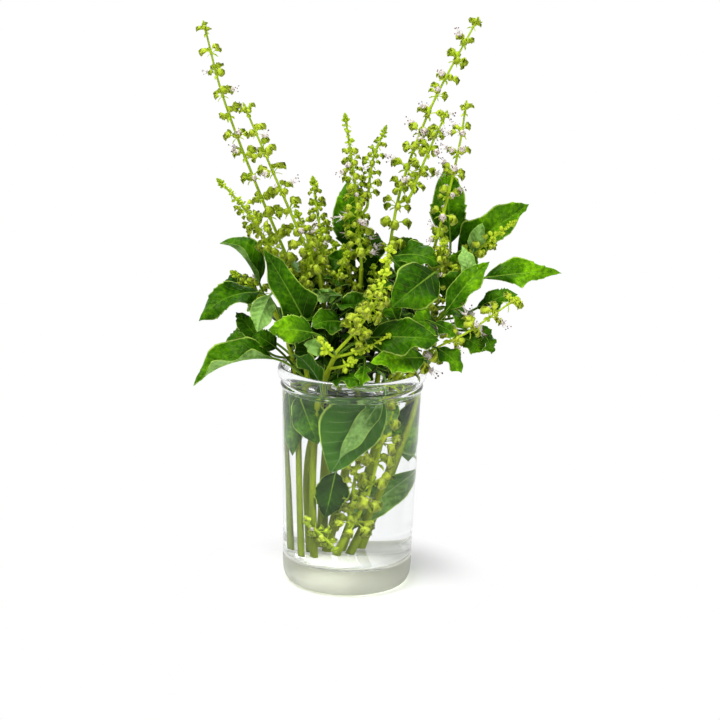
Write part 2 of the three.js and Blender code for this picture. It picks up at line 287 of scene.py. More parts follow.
def put(tree, kind, values=(), **settings):
    """Adds one shader node. settings are its own properties, and values its inputs in order, or by name or
    number: a node stands for its first output in use, an output is linked, and anything else is set."""
    node = tree.nodes.new(f"ShaderNode{kind}")
    for name, value in settings.items():
        setattr(node, name, value)
    for socket, value in values.items() if isinstance(values, dict) else enumerate(values):
        if isinstance(value, bpy.types.Node):
            value = next(output for output in value.outputs if output.enabled)
        if isinstance(value, bpy.types.NodeSocket):
            tree.links.new(value, node.inputs[socket])
        else:
            node.inputs[socket].default_value = value
    return node


def new_material(name):
    """A material whose tree is empty."""
    material = bpy.data.materials.new(name)
    material.use_nodes = True
    material.node_tree.nodes.clear()
    return material


def rgba(colour):
    return (*colour, 1.0)


# Side veins leave the midrib at even steps of the blade's length and bend towards the tip. y is the distance
# from the midrib as a share of the widest half.
VEIN_PAIRS = 7.0
VEIN_LEAN = 0.34
VEIN_BEND = 0.10


def vein_phase(u, y):
    """Counts side veins along a blade: each lies where the phase is a whole number."""
    return (u - VEIN_LEAN * y + VEIN_BEND * y * y) * VEIN_PAIRS


# Sizes in mm of the natural patterns on a plant's skin.
BLOTCH = 9.0
PUCKER = 1.8
RIB = 1.1
BLUSH = 1.2
DOWN = linear("#dfe8d8")  # fine hairs on a leaf
HAIRS = linear("#e6f0a0")  # and on a calyx or a stem
POLLEN_SPOTS = linear("#2c1526")
THROUGH_BLADE = (2.2, 1.9, 0.5)  # how a blade's colour changes in light that comes through it
LIT_THROUGH = 0.22  # how much of a blade's light comes through it


def leaf_face(name, greens, vein, margin, gloss, down, vein_share):
    """One face of a living leaf: a thin satin skin, puckered between sunken side veins.

    Its green runs through greens with the tone mark, which is mostly painted light and shade, in blotches as
    broad as a finger and from a darker base to a lighter tip, the darker base being painted shade. Midrib and
    side veins are paler, a pale line follows the rim and is worn in places, and light from behind comes
    through yellower. gloss is its roughness, vein_share how much its side veins show, and down the share of
    fine hairs, which whiten it where it turns away. The veins are really a quarter of a millimetre wide, and
    are drawn twice as broad so that they show."""
    tree = new_material(name).node_tree
    place = put(tree, "TexCoord").outputs["Object"]
    on_blade = put(tree, "SeparateXYZ", [put(tree, "UVMap", uv_map="blade")])
    u = on_blade.outputs[0]
    aside = put(tree, "Math", [on_blade.outputs[1], 2.0, -1.0], operation="MULTIPLY_ADD")
    y = put(tree, "Math", [aside], operation="ABSOLUTE")
    rim_share = put(tree, "Attribute", attribute_name="across").outputs["Fac"]
    across = put(tree, "Math", [rim_share], operation="ABSOLUTE")
    broad = put(tree, "TexNoise", {"Vector": place, "Scale": 1 / (BLOTCH * MM), "Detail": 3.0}).outputs[0]
    fine = put(tree, "TexNoise", {"Vector": place, "Scale": 1 / (PUCKER * MM), "Detail": 3.0}).outputs[0]

    # Green: the tone mark, both noises and the place along the blade add up to a place among the greens. The
    # tone mark is mostly painted light and shade, and the darkening towards the base is painted shade.
    tone = put(tree, "Attribute", attribute_name="tone").outputs["Fac"]
    level = put(tree, "Math", [tone, 0.5, 0.5], operation="MULTIPLY_ADD")
    level = put(tree, "Math", [broad, 1.3, level], operation="MULTIPLY_ADD")
    level = put(tree, "Math", [fine, 0.9, level], operation="MULTIPLY_ADD")
    # painted shade: the blade is darker near its base, where it lies deep in the bunch
    grown = put(tree, "MapRange", [u, 0.0, 0.6, -1.55, -1.08], interpolation_type="SMOOTHSTEP")
    level = put(tree, "Math", [level, grown])
    green = put(tree, "ValToRGB", [level])
    stops = green.color_ramp.elements
    stops.new(0.33)
    stops.new(0.66)
    for stop, colour in zip(stops, greens):
        stop.color = rgba(colour)

    # Veins: the phase of vein_phase over its number of pairs, and a midrib that narrows towards the tip.
    bent = put(tree, "Math", [y, VEIN_BEND, -VEIN_LEAN], operation="MULTIPLY_ADD")
    phase = put(tree, "Math", [bent, y, u], operation="MULTIPLY_ADD")
    phase = put(tree, "Math", [broad, 0.09, phase], operation="MULTIPLY_ADD")
    off_vein = put(tree, "Math", [phase, 0.5 / VEIN_PAIRS], operation="PINGPONG")
    side = put(tree, "MapRange", [off_vein, 0.003, 0.009, 1.0, 0.0], interpolation_type="SMOOTHSTEP")
    inside = put(tree, "MapRange", [across, 0.6, 0.95, vein_share, 0.0])
    side = put(tree, "Math", [side, inside], operation="MULTIPLY")
    rib = put(tree, "Math", [u, 0.045, y], operation="MULTIPLY_ADD")
    rib = put(tree, "MapRange", [rib, 0.02, 0.065, 0.6, 0.0], interpolation_type="SMOOTHSTEP")
    veined = put(tree, "Math", [side, rib], operation="MAXIMUM")
    colour = put(tree, "Mix", {0: veined, 6: green, 7: rgba(vein)}, data_type="RGBA")

    # Rim: the outermost twentieth of the blade, paler or fainter by the blotches.
    rim = put(tree, "MapRange", [across, 0.92, 0.965])
    worn = put(tree, "MapRange", [broad, 0.4, 0.62, 0.65, 1.0])
    rim = put(tree, "Math", [rim, worn], operation="MULTIPLY")
    colour = put(tree, "Mix", {0: rim, 6: colour, 7: rgba(margin)}, data_type="RGBA")

    # Skin: blotches and puckers stand out by parts of a millimetre, and side veins are sunk between them.
    height = put(tree, "Math", [broad, 3.0, fine], operation="MULTIPLY_ADD")
    height = put(tree, "Math", [side, -2.5, height], operation="MULTIPLY_ADD")
    bump = put(tree, "Bump", {"Height": height, "Strength": 0.8, "Distance": 0.5 * MM})
    rough = put(tree, "Math", [broad, 0.25, gloss - 0.12], operation="MULTIPLY_ADD")
    skin = put(tree, "BsdfPrincipled", {
        "Base Color": colour, "Roughness": rough, "IOR": 1.42, "Specular IOR Level": 0.18, "Normal": bump,
        "Specular Tint": (0.9, 1.0, 0.4, 1.0),
        "Sheen Weight": down, "Sheen Roughness": 0.5, "Sheen Tint": rgba(DOWN),
    })
    lit = {0: 1.0, 6: colour, 7: rgba(THROUGH_BLADE)}
    lit = put(tree, "Mix", lit, data_type="RGBA", blend_type="MULTIPLY")
    behind = put(tree, "BsdfTranslucent", {"Color": lit, "Normal": bump})
    put(tree, "OutputMaterial", [put(tree, "MixShader", [LIT_THROUGH, skin, behind])])


def soft_green(name, young, ripe, edge_colour, through_share, rough):
    """Downy plant skin, such as a calyx or a green stem: matt and a little lit through.

    Its green runs from young to ripe with the mark of that name, and turns to edge_colour at its edge, by the
    edge mark. Fine hairs catch light where it turns away. It is streaked along its ribs, and the streaks
    are as broad as the ribs, about a millimetre apart."""
    material = new_material(name)
    tree = material.node_tree
    place = put(tree, "TexCoord").outputs["Object"]
    ribs = put(tree, "TexNoise", {"Vector": place, "Scale": 1 / (RIB * MM), "Detail": 3.0}).outputs[0]
    ripeness = put(tree, "Attribute", attribute_name="ripe").outputs["Fac"]
    colour = put(tree, "Mix", {0: ripeness, 6: rgba(young), 7: rgba(ripe)}, data_type="RGBA")
    streaks = put(tree, "MapRange", [ribs, 0.5, 0.8, 0.0, 0.4])
    deep = tuple(0.55 * c for c in ripe)
    colour = put(tree, "Mix", {0: streaks, 6: colour, 7: rgba(deep)}, data_type="RGBA")
    edge = put(tree, "Attribute", attribute_name="edge").outputs["Fac"]
    edge = put(tree, "MapRange", [edge, 0.72, 1.0, 0.0, 0.6])
    colour = put(tree, "Mix", {0: edge, 6: colour, 7: rgba(edge_colour)}, data_type="RGBA")
    bump = put(tree, "Bump", {"Height": ribs, "Strength": 0.5, "Distance": 0.15 * MM})
    skin = put(tree, "BsdfPrincipled", {
        "Base Color": colour, "Roughness": rough, "IOR": 1.4, "Specular IOR Level": 0.25, "Normal": bump,
        "Sheen Weight": 0.1, "Sheen Roughness": 0.4, "Sheen Tint": rgba(HAIRS),
    })
    behind = put(tree, "BsdfTranslucent", {"Color": colour})
    put(tree, "OutputMaterial", [put(tree, "MixShader", [through_share, skin, behind])])
    return material


def petal_skin(name, colour, blush, through_share):
    """Thin matt petal, thread or pollen skin, blotched with a second colour every millimetre or so."""
    material = new_material(name)
    tree = material.node_tree
    place = put(tree, "TexCoord").outputs["Object"]
    blotch = put(tree, "TexNoise", {"Vector": place, "Scale": 1 / (BLUSH * MM)}).outputs[0]
    blotch = put(tree, "MapRange", [blotch, 0.45, 0.7])
    colour = put(tree, "Mix", {0: blotch, 6: rgba(colour), 7: rgba(blush)}, data_type="RGBA")
    skin = put(tree, "BsdfPrincipled", {"Base Color": colour, "Roughness": 0.6, "IOR": 1.4})
    behind = put(tree, "BsdfTranslucent", {"Color": colour})
    put(tree, "OutputMaterial", [put(tree, "MixShader", [through_share, skin, behind])])
    return material


def clear_body(name, tint, ior, rough=0.0, shine=1.0):
    """Clear glass or water: it bends light by its own index, and lets lamps through as if it weren't there,
    so that what stands in it is lit. shine is how much it reflects: little where it meets another clear
    body."""
    material = new_material(name)
    tree = material.node_tree
    body = put(tree, "BsdfPrincipled", {
        "Base Color": rgba(tint), "Roughness": rough, "IOR": ior, "Transmission Weight": 1.0,
        "Specular Tint": (shine, shine, shine, 1.0),
    })
    passed = put(tree, "BsdfTransparent", {"Color": rgba(tint)})
    shadow = put(tree, "LightPath").outputs["Is Shadow Ray"]
    put(tree, "OutputMaterial", [put(tree, "MixShader", [shadow, body, passed])])
    return material


# ---- sizes and colours ----


def metres(name, description, mm):
    return bpy.props.FloatProperty(name=name, description=description, default=mm * MM, unit="LENGTH")


def factor(name, description, default):
    return bpy.props.FloatProperty(name=name, description=description, default=default, subtype="FACTOR")


def paint(name, description, code):
    return bpy.props.FloatVectorProperty(
        name=name, description=description, default=linear(code), size=3, subtype="COLOR"
    )


class GlassSettings(bpy.types.PropertyGroup):
    wall: metres("Wall", "Thickness of the glass's side", 2.4)
    floor: metres("Floor", "Height of the thick base, to where the water begins", 13.5)
    bead: metres("Bead", "How far the bead under the rim stands out", 0.9)
    water_level: metres("Water level", "Height of the water above the table", 100.0)
    tint: paint("Glass tint", "What the glass's body takes out of white light", "#fcfdfd")
    foot_tint: paint("Foot tint", "The same, where the foot is ground", "#b4b7a2")
    water_tint: paint("Water tint", "What the water takes out of white light", "#fefefe")


class LeafSettings(bpy.types.PropertyGroup):
    thickness: metres("Thickness", "Thickness of the blade between veins", 0.3)
    tooth: metres("Tooth", "How far a tooth of the margin stands out", 0.8)
    wave: metres("Wave", "How far the margin waves up and down", 1.7)
    petiole: metres("Petiole", "Radius of the leaf's stalk", 0.6)
    # deep and bright are the ends of the tone mark's greens: the deepest green is painted shade for leaves
    # deep in the bunch, and the brightest is partly painted light on lit leaves
    deep: paint("Deepest green", "The upper face of an old leaf", "#1a4001")
    dark: paint("Dark green", "The upper face of most leaves, in its darker patches", "#326602")
    light: paint("Light green", "The upper face of most leaves, in its lighter patches", "#558c04")
    bright: paint("Bright green", "A young leaf's upper face", "#8ac60c")
    vein: paint("Vein", "Midrib and side veins on the upper face", "#93bd3e")
    margin: paint("Margin", "The thin pale line round the blade", "#bedc62")
    # under_dark, and the dark green below it, are the shade end of the underside's greens: painted shade
    # where the tone mark is low
    under_dark: paint("Underside, dark", "An old leaf's underside", "#4f7c20")
    under_light: paint("Underside, light", "A young leaf's underside", "#a4d070")
    under_vein: paint("Underside vein", "Veins on the underside", "#b3cd94")


class SpikeSettings(bpy.types.PropertyGroup):
    calyx: metres("Calyx", "Length of a grown calyx", 4.1)
    stalk: metres("Flower stalk", "Length of the stalk under a calyx", 3.8)
    young: paint("Young green", "Young calyces and the rachis", "#e8f848")
    ripe: paint("Ripe green", "Grown calyces", "#b4d022")
    # painted shade: the inside is a darker green than the outside, for the shade within the cup
    inside: paint("Inside", "The shaded inside of a calyx", "#9ab41e")
    edge: paint("Edge", "The pale edge of a calyx's mouth", "#f2f68c")
    petal: paint("Petal", "The small flowers' petals", "#fffaf4")
    blush: paint("Blush", "Purple blush on the petals and filaments", "#eedfe0")
    anther: paint("Anther", "Pollen-bearing tips", "#7a4a3c")


class StemSettings(bpy.types.PropertyGroup):
    ridge: factor("Ridge", "How square the stem's section is", 0.07)
    knee: factor("Knee", "How much the stem swells where leaves grow", 0.35)
    young: paint("Stem green", "Skin near the leaves", "#a6bc1e")
    ripe: paint("Stem brown", "Skin near the cut end", "#7c9012")


class StageSettings(bpy.types.PropertyGroup):
    distance: metres("Camera distance", "From the bunch's middle to the camera, along the table", 1000.0)
    rise: metres("Camera height", "Height of the camera above the table", 375.0)
    aside: metres("Aim aside", "How far to the right of the glass's middle the camera looks", 3.7)
    aim: metres("Aim height", "How far above the table the camera looks", 113.5)
    roll: bpy.props.FloatProperty(
        name="Roll", description="How far the camera leans to its side", default=math.radians(1.7),
        subtype="ANGLE",
    )
    lens: bpy.props.FloatProperty(
        name="Lens", description="Focal length of the camera, in mm", default=104.5, min=1.0
    )
    floor: paint("Floor", "The table's matt paint", "#f4f4f4")


# ---- glass and water ----


NECK_DROP = 8.5  # from the rim's top down to the neck
NECK_LENGTH = 3.0  # from there down to where the straight wall ends
BASE_HEIGHT = 9.0  # where it starts
LOW_INSET = 4.6  # how much narrower than the rim the wall is at its foot
HIGH_INSET = 2.5  # and at its neck
WALL_ROWS = (14.0, 40.0, 70.0, 98.0)  # heights that keep the wall's shading as straight as the wall
OVERLAP = 0.06  # how far the water reaches into the glass, so that no air is left between them
PRESSED, WET, GROUND = range(3)  # the glass's skins: in air, in water and under the foot
SURFACE, ON_GLASS = range(2)  # and the water's
GLASS_IOR = 1.5
WATER_IOR = 1.333


def turned(stretches, ends, sides=144):
    """A body turned round the glass's axis: each point (radius, height) of its profile is carried round a
    circle. Each stretch of the profile has its points and its material slot, and ends are the heights at
    which the profile starts and ends on the axis."""
    profile = np.concatenate([points for points, _ in stretches])
    slots = np.repeat([slot for _, slot in stretches], [len(points) for points, _ in stretches])
    turn = np.linspace(0, 2 * np.pi, sides, endpoint=False)
    radius, height = profile[:, :1], profile[:, 1:]
    rows = np.stack([radius * np.cos(turn), radius * np.sin(turn), height + 0 * turn], -1)
    return shell(rows, slots[:-1, None], [(0, 0, z) for z in ends])


def glass_sizes(s):
    """The sizes in mm that the glass and its water share, of which the outer ones come from the glass's node:
    the rim's radius and top, the heights of the neck and of the wall's end under it, and the outer radius
    at the wall's foot and at the neck."""
    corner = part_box("glass")[1]
    rim, top = corner.x / MM, corner.z / MM
    neck = top - NECK_DROP
    return SimpleNamespace(
        rim=rim, top=top, neck=neck, end=neck - NECK_LENGTH, low=rim - LOW_INSET, high=rim - HIGH_INSET,
        wall=s.wall / MM, floor=s.floor / MM, bead=s.bead / MM, level=s.water_level / MM,
    )


def wall_rows(g, heights, inward=0.0):
    """Points on the straight wall, some way in from its outside: it widens evenly from base to neck."""
    return [(np.interp(z, [BASE_HEIGHT, g.end], [g.low, g.high]) - inward, z) for z in heights]


def floor_curve(g, into=0.0):
    """The curve from the flat of the floor out to the wall, moved some way into the glass."""
    edge = g.low - g.wall + into
    return through([
        (edge - 12, g.floor - into), (edge - 4.5, g.floor + 0.1 - into), (edge - 0.9, g.floor + 1.4),
        *wall_rows(g, [g.floor + 5.0], g.wall - into),
    ], 16)


class BASIL_OT_glass(bpy.types.Operator):
    """Make the straight glass with its rolled rim, bead and thick base"""

    bl_idname = "basil.glass"
    bl_label = "Glass"

    def execute(self, context):
        s = context.scene.basil_glass
        g = glass_sizes(s)
        foot = g.rim - 9.5
        heel = through([(foot, 0.0), (foot + 2.9, 1.2), (g.low - 0.6, 4.2), (g.low, BASE_HEIGHT)], 14)
        lip = through([
            (g.high, g.end), (g.high + g.bead, g.neck - 1.2), (g.high + 0.1, g.neck + 0.9),
            (g.rim - 0.9, g.neck + 2.6), (g.rim, g.neck + 5.2), (g.rim - 0.7, g.top - 0.8),
            (g.rim - 2.0, g.top), (g.rim - 3.4, g.top - 0.9), (g.high - g.wall + 0.5, g.neck + 1.5),
            (g.high - g.wall, g.end),
        ], 60)
        stretches = [
            ([(foot - 3, 0.4), (foot - 1, 0.15)], GROUND), (heel, GROUND),
            (wall_rows(g, WALL_ROWS), PRESSED), (lip, PRESSED),
            (wall_rows(g, (*WALL_ROWS[:0:-1], g.floor + 6.0), g.wall), WET), (floor_curve(g)[::-1], WET),
        ]
        skins = [
            clear_body("soda_lime_glass_pressed", s.tint, GLASS_IOR, shine=0.6),
            clear_body("soda_lime_glass_wet", s.tint, GLASS_IOR, shine=0.1),
            clear_body("soda_lime_glass_ground_foot", s.foot_tint, GLASS_IOR, rough=0.4),
        ]
        make_piece("glass_clear", turned(stretches, (0.4, g.floor)), skins, "glass")
        return {"FINISHED"}


class BASIL_OT_water(bpy.types.Operator):
    """Fill the glass with water, which creeps up the wall a little where it meets it"""

    bl_idname = "basil.water"
    bl_label = "Water"

    def execute(self, context):
        s = context.scene.basil_glass
        g = glass_sizes(s)
        inward = g.wall - OVERLAP
        edge = wall_rows(g, [g.level + 0.9], inward)[0][0]
        surface = through([
            (edge, g.level + 0.9), (edge - 0.5, g.level + 0.35), (edge - 1.6, g.level + 0.06),
            (edge - 4, g.level),
        ], 10)
        stretches = [
            (floor_curve(g, OVERLAP), ON_GLASS),
            (wall_rows(g, (g.floor + 6.0, *WALL_ROWS[1:]), inward), ON_GLASS), (surface, SURFACE),
        ]
        skins = [
            clear_body("still_water", s.water_tint, WATER_IOR),
            clear_body("water_on_glass", s.water_tint, WATER_IOR, shine=0.1),
        ]
        make_piece("water_clear", turned(stretches, (g.floor - OVERLAP, g.level)), skins, "water")
        return {"FINISHED"}


# ---- stems ----


def stalk(path, radius, sides, ridge, **marks):
    """A tube along a path: at each point a squarish section, whose radius swells by ridge at four corners."""
    _, first, second = sections(path)
    turn = np.linspace(0, 2 * np.pi, sides, endpoint=False)
    out = radius[:, None] * (1 + ridge * np.cos(4 * turn))
    rows = path[:, None] + out[..., None] * (
        np.cos(turn)[:, None] * first[:, None] + np.sin(turn)[:, None] * second[:, None]
    )
    return shell(rows, **marks)


KNEE_NEAR = 4.0  # a leaf that starts this near a stem's middle grows from it
KNEE_LENGTH = 1.8  # how far along a stem its knees swell


class BASIL_OT_stems(bpy.types.Operator):
    """Make the cut stems, four-cornered and swollen into knees where leaves grow"""

    bl_idname = "basil.stems"
    bl_label = "Stems"

    def execute(self, context):
        s = context.scene.basil_stems
        skin = soft_green("basil_stem_downy", s.young, s.ripe, s.young, through_share=0.12, rough=0.5)
        starts = np.array([rings_of(name)[0].mean(0) for name in LEAVES])
        at = np.linspace(0, 1, PATH_POINTS)
        ripe = ramp(at, 0.75, 0.05)[:, None]
        for name, rings in STEMS.items():
            path = STEM_PATHS[name]
            girth = np.linalg.norm(rings - rings.mean(1, keepdims=True), axis=2).mean(1)
            radius = np.interp(at, np.linspace(0, 1, len(girth)), girth)
            off = np.linalg.norm(path[:, None] - starts, axis=2)
            knees = starts[off.min(0) < KNEE_NEAR]
            if len(knees):
                gap = np.abs(path[:, None, 2] - knees[:, 2]).min(1)
                radius = radius * (1 + s.knee * np.exp(-((gap / KNEE_LENGTH) ** 2)))
            body = stalk(path, radius, sides=14, ridge=s.ridge, ripe=ripe)
            make_piece(f"{name}_downy", body, [skin], name)
        return {"FINISHED"}


# ---- leaves ----

BLADE_SHARES = np.array([0.02, 0.16, 0.32, 0.5, 0.68, 0.85, 0.98])  # where a node's rings lie along a blade
WIDEST_AT = 0.42
FULLNESS = 1.8  # how blunt the outline's ends are: a larger power draws them out


def outline(u):
    """Half width as a share of the widest: a power of the distance from each end, 1 where they balance."""
    low, high = WIDEST_AT, 1 - WIDEST_AT
    return (np.clip(u, 0, 1) / low) ** (low * FULLNESS) * (np.clip(1 - u, 0, 1) / high) ** (high * FULLNESS)


def quadratic(shares, points):
    """The curve of second degree that fits points at shares of its length, as its three coefficients."""
    return np.polynomial.polynomial.polyfit(shares, points, 2)


def on_curve(curve, t):
    t = np.asarray(t)[:, None]
    return curve[0] + curve[1] * t + curve[2] * t * t


def bones_of(node):
    """What a leaf's node says of it: its stalk's and blade's curves, its face, half width and fold.

    Its first two rings are its stalk's and the others its blade's. A ring's margins are its two points
    farthest apart, and its middle lies between the two points nearest to halfway across. The margins stand
    above the middle towards the upper face, by the fold."""
    rings = rings_of(node)
    blade = rings[2:]
    apart = np.linalg.norm(blade[:, :, None] - blade[:, None, :], axis=3).reshape(len(blade), -1)
    one, other = np.unravel_index(apart.argmax(1), (8, 8))
    n = np.arange(len(blade))
    a, b = blade[n, one], blade[n, other]
    across = unit(a - b)
    off = np.abs(np.einsum("nkj,nj->nk", blade - ((a + b) / 2)[:, None], across))
    inner = np.argsort(off, axis=1)[:, :2]
    middle = blade[n[:, None], inner].mean(1)
    rise = ((a + b) / 2 - middle).sum(0)
    half = np.linalg.norm(a - middle, axis=1)
    lift = np.linalg.norm((a + b) / 2 - middle, axis=1)
    curve = quadratic(BLADE_SHARES, middle)
    stalk_points = np.array([rings[0].mean(0), rings[1].mean(0), curve[0]])
    return SimpleNamespace(
        stalk=quadratic([0, 0.5, 1], stalk_points),
        blade=curve,
        face=unit(rise),
        half=(half / outline(BLADE_SHARES))[1:-1].mean(),
        fold=math.degrees(math.asin((lift / half)[1:-1].mean())),
    )


def bones_between(start, base, tip, face, width, arch, fold=14.0):
    """The same for a leaf that has no node: its blade's middle stands out by arch towards its face."""
    crown = (base + tip) / 2 + 2 * arch * face
    blade = np.array([base, 2 * (crown - base), base - 2 * crown + tip])
    bend = base - unit(crown - base) * 0.5 * np.linalg.norm(base - start)
    stem_curve = np.array([start, 2 * (bend - start), start - 2 * bend + base])
    return SimpleNamespace(stalk=stem_curve, blade=blade, face=face, half=width / 2, fold=fold)


TEETH_FROM = 0.1  # between which shares of the blade's length its margin is toothed
TEETH_TO = 0.94


def saw(u, count, depth, rng):
    """A toothed margin: each tooth swells towards the tip and then cuts back, each as deep as its own draw.
    A sine of u spaces the teeth unevenly."""
    depths = depth * rng.uniform(0.1, 1.4, count)
    uneven = 0.35 * np.sin(2 * np.pi * (2.3 * u + rng.uniform()))
    place = np.clip((u - TEETH_FROM) / (TEETH_TO - TEETH_FROM), 0, 1) * count + uneven
    tooth = np.clip(np.floor(place), 0, count - 1).astype(int)
    inside = ramp(u, TEETH_FROM, 0.2) * ramp(u, 0.95, 0.9)
    return depths[tooth] * np.clip(place - tooth, 0, 1) ** 1.5 * inside


HALF_COLUMNS = np.array([0.035, 0.085, 0.17, 0.29, 0.43, 0.57, 0.71, 0.84, 0.94, 1.0])
LEAF_DEFAULTS = dict(
    tone=0.0,  # -1 is the deepest green and 1 the brightest: mostly painted shade for a leaf deep in the bunch and painted light for a lit one
    under=0.0,  # how much brighter its underside is
    wave=1.0,  # how wavy the margin is, as a share of the setting
    waves=2.2,  # how many waves a margin has
    tooth=1.0,  # how deep its teeth are, as a share of the setting
    teeth=8,
    droop=1.2,  # how far the margins bend down, in mm
    tip=1.5,  # how far the tip hangs, in mm
    swerve=0.0,  # how far the blade bends to its left, in mm
    folds=None,  # degrees that its left and right halves fold up, where they aren't as the node's
    halves=(1.0, 1.0),  # the left and right half's breadth, as a share of the node's
    lobes=(),  # (side, share of the length, height in mm, breadth as a share) of large teeth and hollows
    fine=1.0,  # how fine its grid is
)


STALK_ROWS = 8
BLADE_ROWS = 74
LAST_ROW = 0.992  # the share of the blade's length at its last row, past which a point closes it
QUILT = 0.8  # how far the blade swells between side veins, in mm as are the next four
MIDRIB = 0.45  # the midrib's breadth
GROOVE = 0.1  # how deep it is sunk above
RIDGE = 0.6  # how far it stands out below, at the blade's foot
THINNEST = 0.15  # the half breadth that is left at the deepest cut
FLATTENS = 0.07  # the share of the blade's length over which the stalk flattens into it
STALK_SHARE = 0.3  # how much of the blade's length the stalk would take up in its pattern


def margins_of(bones, look, sizes, u, rng):
    """The breadth of the left and of the right half at each u, in mm: the stalk's radius flows into the
    outline, and teeth and lobes, each a bump of their own breadth, stand out from that."""
    petiole = sizes.petiole / MM
    margins = []
    for side, breadth in zip((1, -1), look["halves"]):
        half = np.hypot(petiole * (1 - 0.6 * u) * (1 - u), breadth * bones.half * outline(u))
        half = half + saw(u, look["teeth"], look["tooth"] * sizes.tooth / MM, rng) * (u > 0)
        for lobe_side, place, height, spread in look["lobes"]:
            if lobe_side == side:
                half = half + height * np.exp(-(np.abs((u - place) / spread) ** 1.5)) * ramp(u, 0, 0.1)
        margins.append(np.maximum(half, THINNEST)[:, None])
    return margins


def leaf_columns(fine):
    """v at each column of a leaf's grid, and how many columns lie above: they run over the upper face from
    one margin to the other and back below. A coarse leaf has every other column."""
    half = HALF_COLUMNS[:: -1 if fine > 0.5 else -2]
    above = np.concatenate([half, [0.0], -half[::-1]])
    return np.concatenate([above, -above[1:-1]]), len(above)


def blade_relief(u, v, reach, phase, bones, look, sizes):
    """How far the blade lies off the plane of its half, in mm: a wave that grows with v squared, less the
    droop of the margins, plus a quilting that is lowest on each side vein. All of it fades at both ends."""
    wave = look["wave"] * sizes.wave / MM * np.sin(2 * np.pi * (look["waves"] * u + phase))
    vein = vein_phase(u, reach / (bones.half * 1.05))
    quilt = QUILT * np.cos(2 * np.pi * (vein + 0.5)) * np.abs(v) * (1 - v * v)
    window = ramp(u, 0.0, 0.25) * ramp(u, 1.0, 0.8)
    return (wave * v * v - look["droop"] * np.abs(v) ** 3 + quilt) * window


def blade_skins(u, v, half, flat, sizes):
    """How far the upper and the lower skin lie from the blade's middle, in mm: half its thickness, which
    goes at the margin. The midrib is a groove above and a ridge below, each a bell curve of the distance from
    it in mm. Where flat is 0, both skins are halves of the round stalk instead."""
    rib = np.exp(-((v * half / MIDRIB) ** 2))
    skin = sizes.thickness / MM / 2 * (1 - v**8)
    round_skin = sizes.petiole / MM * np.sqrt(np.clip(1 - v * v, 0, 1))
    above = flat * (skin - GROOVE * rib) + (1 - flat) * round_skin
    under = flat * (skin + RIDGE * (1 - 0.8 * u) * rib) + (1 - flat) * round_skin
    return above, under


def leaf_body(bones, look, sizes, seed):
    """A leaf's surface over u, along it, and v, across it.

    A round stalk flattens into the blade over the first part of u. Each half is turned up about the midrib
    by its fold, which grows from nothing at the midrib, and the relief and the skins stand off its plane.
    The margin is the outline with its teeth and lobes, and the tip hangs by a smooth step of u."""
    rng = np.random.default_rng(seed)
    t = np.linspace(0, 1, STALK_ROWS, endpoint=False)
    u_blade = np.linspace(0, LAST_ROW, int(BLADE_ROWS * look["fine"]))
    at = np.concatenate([on_curve(bones.stalk, t), on_curve(bones.blade, u_blade)])
    u = np.concatenate([np.zeros(len(t)), u_blade])
    along = np.concatenate([(t - 1) * STALK_SHARE, u_blade])
    way = unit(np.gradient(at, axis=0))
    up = unit(bones.face - (way @ bones.face)[:, None] * way)
    left = np.cross(up, way)
    flat = ramp(along, 0.0, FLATTENS)[:, None]
    margins = margins_of(bones, look, sizes, u, rng)
    u = u[:, None]

    v, columns_above = leaf_columns(look["fine"])
    column = np.arange(len(v))
    below = column >= columns_above
    half = np.where(v >= 0, *margins)
    reach = np.abs(v) * half
    folds = look["folds"] or (bones.fold, bones.fold)
    fold = np.radians(np.where(v >= 0, *folds)) * ramp(np.abs(v), 0, 0.25) * flat
    phase = np.where(v >= 0, *rng.uniform(0, 1, 2))
    above, under = blade_skins(u, v, half, flat, sizes)
    off_plane = blade_relief(u, v, reach, phase, bones, look, sizes) * flat + np.where(below, -under, above)

    sideways = np.sign(v) * (reach * np.cos(fold) - off_plane * np.sin(fold))
    sideways = sideways + look["swerve"] * 4 * u * (1 - u)
    height = reach * np.sin(fold) + off_plane * np.cos(fold) - look["tip"] * ramp(u, 0.55, 1.0) ** 2
    rows = at[:, None] + sideways[..., None] * left[:, None] + height[..., None] * up[:, None]
    tip = on_curve(bones.blade, [1.0])[0] - look["tip"] * up[-1]
    slots = (column >= columns_above - 1).astype(int)
    pattern = np.stack([np.broadcast_to(along[:, None], half.shape), 0.5 + 0.5 * v * half / bones.half], -1)
    # painted light and shade: a leaf's whole green is set darker in the bunch's shade and lighter where it is
    # lit, with a little random difference
    tone = look["tone"] + look["under"] * below + rng.uniform(-0.08, 0.08)
    return shell(rows, slots, [rows[0].mean(0), tip], blade=pattern, across=v, tone=tone)
